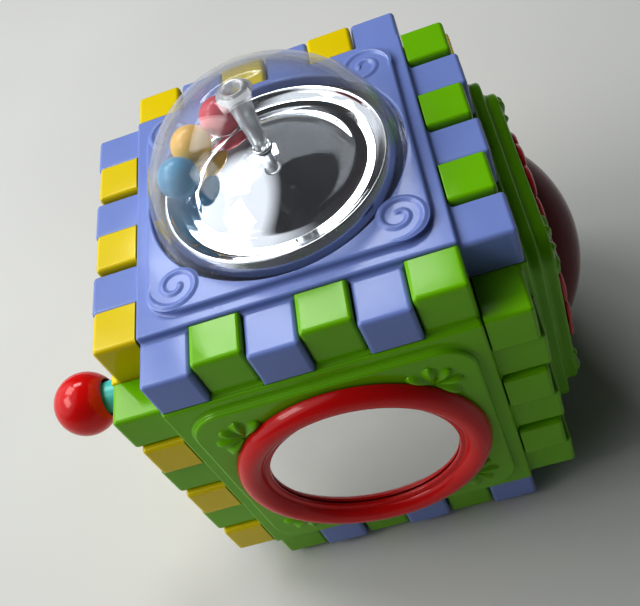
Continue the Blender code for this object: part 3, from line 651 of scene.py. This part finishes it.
# ---- sections turned about a face's middle ----
def arc(r, n, radius, start, end, steps):
    """Points (r, n) on a circle, with angles in degrees from the r axis."""
    angles = [math.radians(start + (end - start) * i / steps) for i in range(steps + 1)]
    return [(r + radius * math.cos(a), n + radius * math.sin(a)) for a in angles]


def turned(name, profile, face, look, body, slot, steps, sharp, at=(0, 0), nodes=None):
    piece(name, lathe(profile, steps, at), face, look, body, nodes or [name], slot, sharp)


def place_of(node, face):
    """The middle of a CAD node's box, in a face frame."""
    low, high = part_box(node)
    return face_matrix(face).inverted() @ ((low + high) / 2)


# ---- top: dome, tray and balls ----
DOME_RADIUS, DOME_CENTRE, DOME_WALL = 2.62 * CELL, 3.68 * CELL, 0.0016
SKIRT_RADIUS, SHELL_INSIDE = 0.0490, 0.0466
FLANGE_RADIUS, FLANGE_TOP, FLANGE_FOOT = 0.0512, 0.0739, 0.0719
PILLAR_ROOT, PILLAR_TIP, PILLAR_FOOT, PILLAR_BEND = 0.0045, 0.0027, 0.0917, 0.0022
BORE_FOOT, BORE_LIP, LIP_RADIUS, SHELL_HOLE = 0.0941, 0.0004, 0.0045, 0.0056
TRAY_PEAK, TRAY_CREASE, CREASE_RADIUS = 4.8 * CELL, 4.12 * CELL, 1.66 * CELL
TRAY_RADIUS, TRAY_RIM, TRAY_FOOT, TRAY_WALL = 0.0462, 0.0806, 0.0722, 0.0015
CHANNEL_FLOOR, COLLAR_TOP = 0.0776, TRAY_PEAK + 0.0010
BALL_RADIUS, BALL_GROOVE = 0.008, 0.00012


def dome_cover():
    """A clear bubble with a skirt and a flange, and a hollow tapered pillar that hangs from its top."""
    inside = DOME_RADIUS - DOME_WALL
    skirt = soft([
        (SKIRT_RADIUS, FLANGE_TOP + 0.0006, 0), (SKIRT_RADIUS, FLANGE_TOP, 0.0002),
        (FLANGE_RADIUS, FLANGE_TOP, 0.0004), (FLANGE_RADIUS, FLANGE_FOOT, 0.0004),
        (SHELL_INSIDE, FLANGE_FOOT, 0),
    ])
    root_r = PILLAR_ROOT + PILLAR_BEND
    root_n = DOME_CENTRE + math.sqrt(inside**2 - root_r**2) - PILLAR_BEND
    outer_top = math.degrees(math.acos(SHELL_HOLE / DOME_RADIUS))
    inner_top = math.degrees(math.acos(root_r / inside))
    shell = arc(0, DOME_CENTRE, DOME_RADIUS, outer_top, 9.9, 44) + skirt
    shell += arc(0, DOME_CENTRE, inside, 9.6, inner_top, 44)
    turned("dome_cover", shell, "top", CLEAR, "case", "clear_plastic", 144, sharp=30)
    lip = DOME_CENTRE + math.sqrt(DOME_RADIUS**2 - LIP_RADIUS**2)
    bore = soft([
        (0, BORE_FOOT, 0), (0.0012, BORE_FOOT, 0.0006), (0.0031, lip - 0.0012, 0.001),
        (0.0034, lip + BORE_LIP, 0.0004), (0.0043, lip + BORE_LIP, 0.0004), (0.0050, lip - 0.0002, 0),
    ])
    pillar = [(root_r, root_n + PILLAR_BEND)] + arc(root_r, root_n, PILLAR_BEND, 92, 178, 8)
    pillar += [(PILLAR_TIP, PILLAR_FOOT + 0.0004), (PILLAR_TIP - 0.0003, PILLAR_FOOT), (0, PILLAR_FOOT)]
    profile, nodes = bore + pillar, ["dome_cover"]
    turned("dome_pillar", profile, "top", PILLAR, "case", "clear_plastic", 64, sharp=30, nodes=nodes)


def mirror_tray():
    """A plated dish: a mound in the middle, a channel for the balls, and a rolled rim."""
    rise = TRAY_PEAK - TRAY_CREASE
    mound_radius = (CREASE_RADIUS**2 + rise**2) / (2 * rise)
    mound_centre = TRAY_PEAK - mound_radius
    reach = math.degrees(math.asin(CREASE_RADIUS / mound_radius))
    mound = arc(0, mound_centre, mound_radius, 90, 90 - reach + 2, 30)
    collar = soft([
        (0, TRAY_PEAK, 0), (0.0028, TRAY_PEAK, 0.0001), (0.0029, COLLAR_TOP, 0.0003),
        (0.0037, COLLAR_TOP, 0.0004), (0.0040, TRAY_PEAK - 0.0002, 0.0002), (*mound[3], 0),
    ], 4)
    channel = soft([
        (*mound[-1], 0), (CREASE_RADIUS, TRAY_CREASE + 0.0001, 0.004), (0.0350, CHANNEL_FLOOR, 0.003),
        (0.0388, CHANNEL_FLOOR, 0.003), (0.0412, 0.0792, 0.003), (0.0421, TRAY_RIM, 0.0011),
        (0.0432, TRAY_RIM, 0.0011), (0.0452, 0.0772, 0.002), (TRAY_RADIUS, 0.0742, 0.001),
        (TRAY_RADIUS, TRAY_FOOT, 0.0003), (0.0430, TRAY_FOOT, 0),
    ], 7)
    under = [(0.0420, 0.0770), (0.0400, 0.0765), (0.0342, 0.0762)]
    under += arc(0, mound_centre, mound_radius - TRAY_WALL, 90 - reach, 90, 12)
    profile = collar + mound[4:] + channel[1:] + under
    turned("mirror_tray", profile, "top", CHROME, "case", "mirror_finish", 144, sharp=50)


def balls():
    """Three loose balls, each with a fine parting line round its middle."""
    upper = [(0, BALL_RADIUS)] + arc(0, 0, BALL_RADIUS, 86, 1.6, 22)
    side = upper + [(BALL_RADIUS - BALL_GROOVE, 0)] + [(r, -n) for r, n in reversed(upper)]
    for name, look, slot in (
        ("blue_ball", BALL_BLUE, "ball_blue_plastic"),
        ("yellow_ball", BALL_YELLOW, "ball_yellow_plastic"),
        ("red_ball", BALL_RED, "red_plastic"),
    ):
        at = place_of(name, "top")
        bm = lathe([(r, n + at.z) for r, n in side], 56, (at.x, at.y))
        piece(name, bm, "top", look, name, [name], slot, 60)


# ---- front: ring and mirror ----
RING_OUTER, RING_INNER, RING_LIP = 2.55 * CELL, 1.9 * CELL, 0.0814
RING_CREST, CREST_RADIUS = 0.0851, 0.0431
MIRROR_RADIUS, MIRROR_FACE, MIRROR_BACK = 0.0372, 0.0795, 0.0780


def mirror_ring():
    """A half-round ring with a lip inside it, over the edge of the mirror."""
    foot = PLATE_TOP + SEAM
    rise, outward, inward = RING_CREST - foot, RING_OUTER - CREST_RADIUS, 0.0054
    outer = [(CREST_RADIUS + outward * math.sin(a), foot + rise * math.cos(a))
             for a in (math.radians(4 * i) for i in range(1, 22))]
    outer += [(RING_OUTER, foot + 0.0003), (RING_OUTER - 0.0003, foot)]
    inner = [(CREST_RADIUS - inward * math.sin(a), foot + rise * math.cos(a))
             for a in (math.radians(64 - 4 * i) for i in range(17))]
    recess, over = MIRROR_RADIUS + 0.0006, MIRROR_FACE + 0.0004
    lip = soft([
        (recess, foot, 0), (recess, over, 0), (RING_INNER, over, 0.0002), (RING_INNER, RING_LIP, 0.0007),
        (RING_INNER + 0.0018, RING_LIP + 0.0001, 0.0004), (inner[0][0], inner[0][1] - 0.0002, 0),
    ], 6)
    turned("mirror_ring", outer + lip + inner, "front", RED, "case", "red_plastic", 160, sharp=50)


def mirror():
    """A flat disc with a small chamfer."""
    chamfer = 0.0004
    section = [
        (0, MIRROR_FACE), (MIRROR_RADIUS - chamfer, MIRROR_FACE), (MIRROR_RADIUS, MIRROR_FACE - chamfer),
        (MIRROR_RADIUS, MIRROR_BACK), (0, MIRROR_BACK),
    ]
    turned("mirror", section, "front", MIRROR, "case", "mirror_sheet", 120, sharp=30)


# ---- right: petals and button ----
PETALS, PETAL_OUTER, PETAL_INNER = 18, 0.0450, 0.0420
PETAL_TOP, VALLEY_TOP, COLLAR_EDGE = 0.0897, 0.0888, 0.0884
BUTTON_RADIUS, BUTTON_SPHERE, BUTTON_CENTRE, BUTTON_WALL = 0.0376, 2.8 * CELL, 2.6 * CELL, 0.0022
STOP_RADIUS, STOP_DEPTH = 0.0405, 0.002


def flower_bezel():
    """Plump petals round the button, on a thin collar."""
    foot, inside, edge = RIGHT_TOP + SEAM, BUTTON_RADIUS + 0.0005, 0.0003
    around, steps = PETALS * 14, 12
    rings = []
    for index in range(around):
        turn = 2 * math.pi * index / around
        swell = abs(math.cos(PETALS * turn / 2)) ** 0.55
        reach = PETAL_INNER + (PETAL_OUTER - PETAL_INNER) * swell
        top = VALLEY_TOP + (PETAL_TOP - VALLEY_TOP) * swell
        section = [(inside, foot), (inside, COLLAR_EDGE), (inside + edge, VALLEY_TOP)]
        width = reach - inside - edge
        for step in range(1, steps + 1):
            t = step / steps
            bulge = math.sin(math.pi * (0.12 + 0.88 * t)) ** 0.6 if t < 1 else 0
            rise = (top - foot - edge) * bulge * (0.78 + 0.22 * t)
            section.append((inside + edge + width * t, foot + edge + rise))
        section.append((reach - 0.0002, foot))
        rings.append([(r * math.cos(turn), r * math.sin(turn), n) for r, n in section])
    bm = loft(rings, tube=True)
    piece("flower_bezel", bm, "right", RED, "case", ["flower_bezel"], "red_plastic", 60)


def light_button():
    """A shallow lens with a rim, a skirt that runs in the plate's hole, and a stop flange."""
    edge = math.degrees(math.acos((BUTTON_RADIUS - 0.0004) / BUTTON_SPHERE))
    shell = [(0, BUTTON_CENTRE + BUTTON_SPHERE)] + arc(0, BUTTON_CENTRE, BUTTON_SPHERE, 88.5, edge + 0.6, 34)
    flange = RIGHT_TOP - WALL - SEAM
    inside, sphere = BUTTON_RADIUS - BUTTON_WALL, BUTTON_SPHERE - BUTTON_WALL
    skirt = soft([
        (*shell[-1], 0), (BUTTON_RADIUS, shell[-1][1] - 0.0006, 0.0005), (BUTTON_RADIUS, flange, 0.0003),
        (STOP_RADIUS, flange, 0.0003), (STOP_RADIUS, flange - STOP_DEPTH, 0.0003),
        (inside, flange - STOP_DEPTH, 0),
    ])
    inner = arc(0, BUTTON_CENTRE, sphere, math.degrees(math.acos(inside / sphere)), 83, 20)
    post = [(0.0062, 0.0800), (0.0062, 0.0795), (0.0030, 0.0795), (0.0030, 0.0745), (0, 0.0745)]
    profile = shell + skirt[1:] + inner + post
    turned("light_button", profile, "right", LENS_RED, "light_button", "lens_red", 128, sharp=45)


# ---- left: crank and knob ----
HANDLE_AT, HANDLE_RADIUS, PIN_RADIUS = (1.1 * CELL, 0.2 * CELL), 0.0071, 0.0040
DISC_RADIUS, SHAFT_RADIUS, SHAFT_STEP, SHAFT_END = 0.0340, 0.0057, 0.0686, 0.0620
TENON_RADIUS, SCREW_BORE, SCREW_DEPTH = 0.0035, 0.0011, 0.0700
KNOB_RADIUS, KNOB_LEVEL, KNOB_MOUTH = 0.0141, 6.18 * CELL, 0.0084
SOCKET_STEP, SOCKET_TOP = -0.0073, 0.0057       # from the middle of the knob


def crank():
    """A domed disc with a shaft behind it, and a stick near its rim for the knob."""
    foot = PLATE_TOP + SEAM
    disc_section = soft([
        (0, foot + 0.0066, 0), (0.0030, foot + 0.0066, 0.002), (0.0140, foot + 0.0061, 0.02),
        (0.0240, foot + 0.0052, 0.02), (0.0312, foot + 0.0036, 0.008), (DISC_RADIUS, foot + 0.0024, 0.0012),
        (DISC_RADIUS, foot, 0.0005), (SHAFT_RADIUS, foot, 0.0003), (SHAFT_RADIUS, SHAFT_STEP, 0),
        (TENON_RADIUS, SHAFT_STEP, 0), (TENON_RADIUS, SHAFT_END, 0.0003), (SCREW_BORE, SHAFT_END, 0),
        (SCREW_BORE, SCREW_DEPTH, 0), (0, SCREW_DEPTH, 0),
    ], 8)
    bm = lathe(disc_section, 120)
    boss, stick_end, pin_end = HANDLE_RADIUS + 0.0030, KNOB_LEVEL - 0.0077, KNOB_LEVEL + 0.0053
    stick = soft([
        (0, foot + 0.0030, 0), (boss, foot + 0.0030, 0), (boss, foot + 0.0052, 0.0002),
        (HANDLE_RADIUS, foot + 0.0080, 0.003), (HANDLE_RADIUS, stick_end, 0.0008),
        (PIN_RADIUS, stick_end, 0.0003), (PIN_RADIUS, pin_end, 0.0007), (0, pin_end, 0),
    ], 7)
    lathe(list(reversed(stick)), 64, HANDLE_AT, bm)
    piece("crank", bm, "left", TEAL, "crank", ["crank"], "teal_plastic", 45)


def crank_knob():
    """A ball with a countersunk socket that the stick goes into."""
    low = -math.degrees(math.acos((KNOB_MOUTH + 0.0006) / KNOB_RADIUS))
    ball = [(0, KNOB_RADIUS)] + arc(0, 0, KNOB_RADIUS, 87, low, 46)
    bore = PIN_RADIUS + 0.0004
    socket = soft([
        (*ball[-1], 0), (KNOB_MOUTH, ball[-1][1] - 0.0002, 0.0005),
        (KNOB_MOUTH - 0.0007, SOCKET_STEP, 0.0006), (bore, SOCKET_STEP, 0.0004), (bore, SOCKET_TOP, 0),
        (0, SOCKET_TOP, 0),
    ], 6)
    profile = [(r, n + KNOB_LEVEL) for r, n in ball + socket[1:]]
    turned("crank_knob", profile, "left", RED, "knob", "red_plastic", 96, sharp=45, at=HANDLE_AT)


# ---- back: roller ----
ROLLER_LEVEL, ROLLER_RADIUS, ROLLER_HALF, AXLE_BORE = 0.066, 0.024, 0.030, 0.0024
WAIST_RADIUS, WAIST_HALF, GRIP_GROOVES, GRIP_DEPTH = ROLLER_RADIUS - 0.0015, 0.0100, 24, 0.0009
CRADLE_RIM, CRADLE_U, CRADLE_V, CRADLE_WALL = 0.0739, 0.0375, 0.0275, 0.002
EAR_U, EAR_V, EAR_THICKNESS, EAR_SCREW = 0.0455, 0.005, 0.0025, 0.041


def on_side(bm, level):
    """Turns a shape made about n so that its axis lies along u, at a level."""
    bm.transform(Matrix.Translation((0, 0, level)) @ Matrix.Rotation(math.pi / 2, 4, "Y"))
    return bm


def roller():
    """A drum with a hub in each end, a ribbed band at each end of its side, and a waist between them."""
    radius, half = ROLLER_RADIUS, ROLLER_HALF
    recess, around, soft_end = half - 0.0014, GRIP_GROOVES * 10, 0.002
    profile = soft([
        (AXLE_BORE, half, 0), (0.0062, half, 0.0005), (0.0066, recess, 0.0005),
        (radius - 0.0050, recess, 0.0005), (radius - 0.0046, half, 0.0006), (radius, half, 0.0018),
        (radius, 0.0112, 0.0008), (WAIST_RADIUS, WAIST_HALF, 0.0006),
    ])
    waist = [(WAIST_RADIUS, WAIST_HALF * (1 - i / 3)) for i in range(1, 6)]
    profile = profile + waist + [(r, -n) for r, n in reversed(profile)]

    def share(distance):
        return min(1, max(0, distance / soft_end))

    rings = []
    for index in range(around):
        turn = 2 * math.pi * index / around
        groove = 0.5 - 0.5 * math.cos(GRIP_GROOVES * turn)
        ring = []
        for r, n in profile:
            if r > radius - 0.0004:
                r -= GRIP_DEPTH * groove * share(abs(n) - 0.0135) * share(half - 0.0030 - abs(n))
            ring.append((r * math.cos(turn), r * math.sin(turn), n))
        rings.append(ring)
    bm = on_side(loft(rings, tube=True), ROLLER_LEVEL)
    piece("roller_drum", bm, "back", RED, "roller", ["roller_drum"], "red_plastic", 40)


def roller_cradle():
    """A tray behind the roller with a bore for the axle and an ear for a screw at each end."""
    floor = ROLLER_LEVEL - ROLLER_RADIUS - 0.0035
    outer = [
        (-CRADLE_U, CRADLE_U, -CRADLE_V, CRADLE_V, floor - CRADLE_WALL, CRADLE_RIM),
        (-EAR_U, EAR_U, -EAR_V, EAR_V, CRADLE_RIM - EAR_THICKNESS, CRADLE_RIM),
    ]
    bm = bevelled(cells(outer), lambda first, second: 0.0006)
    bore = on_side(disc(AXLE_BORE, -0.0362, 0.0362, steps=32), ROLLER_LEVEL)
    holes = [disc(0.0015, 0.07, 0.08, (side * EAR_SCREW, 0), 24) for side in (-1, 1)]
    room_u, room_v = 0.0318, CRADLE_V - CRADLE_WALL
    bm = cut(bm, [block(-room_u, room_u, -room_v, room_v, floor, 0.08), bore] + holes)
    piece("roller_cradle", bm, "back", GREY, "case", ["roller_cradle"], "grey_plastic", 35)


# ---- bottom: screws, battery door, speaker grille and switch ----
DOOR_U, DOOR_V0, DOOR_V1, DOOR_BACK = 0.0275, 0.0015, 0.0447, 0.0764
SPEAKER_V, SLOT_PITCH, SLOT_HALF, SLOT_REACH = -0.026, 0.0042, 0.0010, 0.0155
SWITCH_U, SWITCH_V, SWITCH_SLOT_U, SWITCH_SLOT_V = 0.040, -0.016, 0.0030, 0.0062
SCREWS = [(u * 0.046, v * 0.046) for u in (-1, 1) for v in (-1, 1)]
BELOW = 0.05                                    # where the bottom's cutters start


def box_about(u, v, half_u, half_v, n0, n1):
    return (u - half_u, u + half_u, v - half_v, v + half_v, n0, n1)


def stepped_hole(at, wide, narrow, step, low):
    """The cutter of a screw's hole: wide down to a step, and narrow below it."""
    section = [(0, CUT_TO), (wide, CUT_TO), (wide, step), (narrow, step), (narrow, low), (0, low)]
    return lathe(section, 40, at)


def bottom_cutters():
    """The battery door's opening, the switch's slot, the speaker's slots and the screws' holes."""
    yield block(-DOOR_U - SEAM, DOOR_U + SEAM, DOOR_V0 - SEAM, DOOR_V1 + SEAM, BELOW, CUT_TO)
    yield block(*box_about(SWITCH_U, SWITCH_V, SWITCH_SLOT_U, SWITCH_SLOT_V, BELOW, CUT_TO))
    for index in range(-3, 4):
        away = index * SLOT_PITCH
        half = math.sqrt(SLOT_REACH**2 - away**2)
        slot = block(*box_about(0, SPEAKER_V + away, half, SLOT_HALF, BELOW, CUT_TO))
        yield bevelled(slot, lambda first, second: 0.0009 if abs(first.z - second.z) > 0.01 else 0)
    for at in SCREWS:
        yield stepped_hole(at, 0.0031, 0.0016, PLATE_TOP - 0.003, BELOW)


def bottom_panel():
    """The panel that the cube stands on."""
    bm = cut(panel_block(), list(bottom_cutters()))
    flat_plate = plate(PLATE_HALF, PLATE_CORNER, SLAB_TOP, PLATE_TOP, PLATE_ROUND, 0.0013)
    join(bm, cut(flat_plate, list(bottom_cutters())))
    name = "bottom_panel"
    piece(name + "_moulding", bm, "bottom", BLUE, "case", [name], "blue_plastic", sharp=50, weighted=True)


def battery_door():
    """A lid with a row of finger grooves and a hole for its screw."""
    top = PLATE_TOP - SEAM
    bm = bevelled(block(-DOOR_U, DOOR_U, DOOR_V0, DOOR_V1, DOOR_BACK, top), lambda first, second: 0.0005)
    hole = stepped_hole((0, DOOR_V1 - 0.0035), 0.0026, 0.0015, 0.0772, 0.07)
    grips = [block(*box_about(0, 0.006 + 0.0018 * i, 0.010, 0.0004, top - 0.0004, CUT_TO)) for i in range(6)]
    bm = cut(bm, [hole] + grips)
    piece("battery_door", bm, "bottom", BLUE, "battery_door", ["battery_door"], "blue_plastic", 35)


def power_switch():
    """A leaf behind the panel, and a grooved finger piece that stands in the slot."""
    leaf = box_about(SWITCH_U, SWITCH_V, 0.0050, 0.0075, 0.0738, 0.0763)
    finger = box_about(SWITCH_U, SWITCH_V, 0.0025, 0.0025, 0.0750, 0.0786)
    bm = bevelled(cells([leaf, finger]), lambda first, second: 0.0003)
    grips = [
        block(*box_about(SWITCH_U, SWITCH_V + 0.0012 * i, 0.003, 0.00025, 0.0781, CUT_TO)) for i in (-1, 0, 1)
    ]
    bm = cut(bm, grips)
    piece("power_switch", bm, "bottom", BLACK, "switch_slider", ["power_switch"], "black_plastic", 35)


def cross_screw(name, head, tip, radius, shank, body):
    """A pan-head screw with a cross recess, at the place of its node."""
    at = place_of(name, "bottom")
    under = head - 0.0015
    section = soft([
        (0, head, 0), (radius * 0.75, head, 0.0008), (radius, head - 0.0009, 0.0003), (radius, under, 0.0001),
        (shank, under, 0), (shank, tip + 0.001, 0), (0, tip, 0),
    ], 4)
    bm = lathe(section, 32, (at.x, at.y))
    long, wide = radius * 0.62, radius * 0.13
    low, high = head - 0.0009, head + 0.001
    slots = [block(*box_about(at.x, at.y, a, b, low, high)) for a, b in ((long, wide), (wide, long))]
    piece(name, cut(bm, slots), "bottom", STEEL, body, [name], "steel", 35)


def screws():
    for index in range(1, 5):
        cross_screw(f"case_screw_{index}", PLATE_TOP - 0.0008, 0.0535, 0.0027, 0.0012, "case")
    cross_screw("door_screw", PLATE_TOP - SEAM, 0.0722, 0.0022, 0.0011, "battery_door")


# ---- floor, lights and camera ----
def stage():
    """A wide pale floor, just below the cube so that the two don't share a surface."""
    bm = bmesh.new()
    bmesh.ops.create_grid(bm, x_segments=8, y_segments=8, size=3.0)
    data = bpy.data.meshes.new("floor")
    bm.to_mesh(data)
    bm.free()
    floor = bpy.data.objects.new("floor", data)
    floor.location.z = -0.0002
    bpy.context.scene.collection.objects.link(floor)
    made, tree, shader = nodes_of("Pale floor")
    drift = ramp(tree, noise(tree, 3, 2), (0.56, 0.56, 0.545, 1), (0.62, 0.62, 0.60, 1))
    tree.links.new(drift, shader.inputs["Base Color"])
    shader.inputs["Roughness"].default_value = 0.55
    data.materials.append(made)


def area_light(name, place, target, width, height, power, tint):
    data = bpy.data.lights.new(name, "AREA")
    data.shape = "RECTANGLE"
    data.size, data.size_y = width, height
    data.energy = power
    data.color = tint
    made = bpy.data.objects.new(name, data)
    made.location = place
    made.rotation_euler = (target - place).to_track_quat("-Z", "Y").to_euler()
    bpy.context.scene.collection.objects.link(made)


def room():
    """A dark room with a bright patch high up on the left, and a faint glow low down all round."""
    world = bpy.data.worlds.new("Room")
    bpy.context.scene.world = world
    world.use_nodes = True
    tree = world.node_tree
    background = tree.nodes["Background"]
    background.inputs["Color"].default_value = (0.93, 0.96, 1.0, 1)
    coordinates = tree.nodes.new("ShaderNodeTexCoord")
    towards = tree.nodes.new("ShaderNodeVectorMath")
    towards.operation = "DOT_PRODUCT"
    towards.inputs[1].default_value = Vector((-0.78, 0.10, 0.62)).normalized()
    tree.links.new(coordinates.outputs["Generated"], towards.inputs[0])
    height = tree.nodes.new("ShaderNodeSeparateXYZ")
    tree.links.new(coordinates.outputs["Generated"], height.inputs["Vector"])
    both = tree.nodes.new("ShaderNodeMath")
    tree.links.new(span(tree, towards.outputs["Value"], 0.62, 0.80, 0.04, 1.0), both.inputs[0])
    tree.links.new(span(tree, height.outputs["Z"], 0.05, 0.45, 0.10, 0.0), both.inputs[1])
    tree.links.new(both.outputs["Value"], background.inputs["Strength"])


def lights():
    """Three windows of much the same power: at the back left, on the left, and at the back."""
    for name, azimuth, elevation, distance, width, height, power, tint in (
        ("window_left", 146, 50, 1.60, 0.61, 0.70, 6.2, (1.0, 0.99, 0.96)),
        ("window_high", 191, 44, 1.60, 0.80, 0.58, 6.6, (1.0, 0.99, 0.97)),
        ("window_back", 106, 50, 1.70, 0.60, 0.43, 6.2, (0.97, 0.99, 1.0)),
    ):
        turn, rise = math.radians(azimuth), math.radians(elevation)
        away = Vector((math.cos(turn) * math.cos(rise), math.sin(turn) * math.cos(rise), math.sin(rise)))
        area_light(name, MIDDLE + away * distance, MIDDLE, width, height, power, tint)


def view():
    settings = bpy.context.scene.view_settings
    settings.view_transform = "Standard"
    settings.gamma = 0.82
    settings.exposure = 0.36


def camera():
    """High up in front of the cube and a little to its right, and rolled."""
    azimuth, elevation, roll = (math.radians(a) for a in (15.665, 49.348, -28.75))
    distance = 21.1175 * CELL
    aim = MIDDLE + CELL * Vector((-0.4466, -0.0869, 0.0317))
    level = math.cos(elevation)
    back = Vector((math.sin(azimuth) * level, -math.cos(azimuth) * level, math.sin(elevation)))
    data = bpy.data.cameras.new("camera")
    data.lens = 52.376
    data.sensor_width = 36
    data.clip_start = 0.01
    made = bpy.data.objects.new("camera", data)
    turn = Matrix.Rotation(azimuth, 4, "Z") @ Matrix.Rotation(math.pi / 2 - elevation, 4, "X")
    made.matrix_world = Matrix.Translation(aim + back * distance) @ turn @ Matrix.Rotation(roll, 4, "Z")
    bpy.context.scene.collection.objects.link(made)
    bpy.context.scene.camera = made


LOOKS = {
    "blue_plastic": BLUE, "green_plastic": GREEN, "yellow_plastic": YELLOW, "red_plastic": RED,
    "teal_plastic": TEAL, "ball_blue_plastic": BALL_BLUE, "ball_yellow_plastic": BALL_YELLOW,
    "lens_red": LENS_RED, "clear_plastic": CLEAR, "led_lens": CLEAR, "mirror_finish": CHROME,
    "mirror_sheet": MIRROR, "grey_plastic": GREY, "black_plastic": BLACK, "steel": STEEL,
    "board_green": BOARD, "battery_jacket": JACKET,
}


def dress_nodes():
    """Gives every CAD node the material of its slot, and shades its round sides smooth."""
    slots = {row["node"]: row["material_slot"] for row in frame["record"]["subparts"]}
    for name, node in frame["nodes"].items():
        node.data.materials.clear()
        node.data.materials.append(LOOKS[slots[name]])
        node.data.shade_smooth()
        node.data.set_sharp_from_angle(angle=math.radians(35))


camera()
view()
room()
lights()
stage()
dress_nodes()
panels()
bottom_panel()
dome_cover()
mirror_tray()
balls()
mirror_ring()
mirror()
flower_bezel()
light_button()
crank()
crank_knob()
roller()
roller_cradle()
battery_door()
power_switch()
screws()
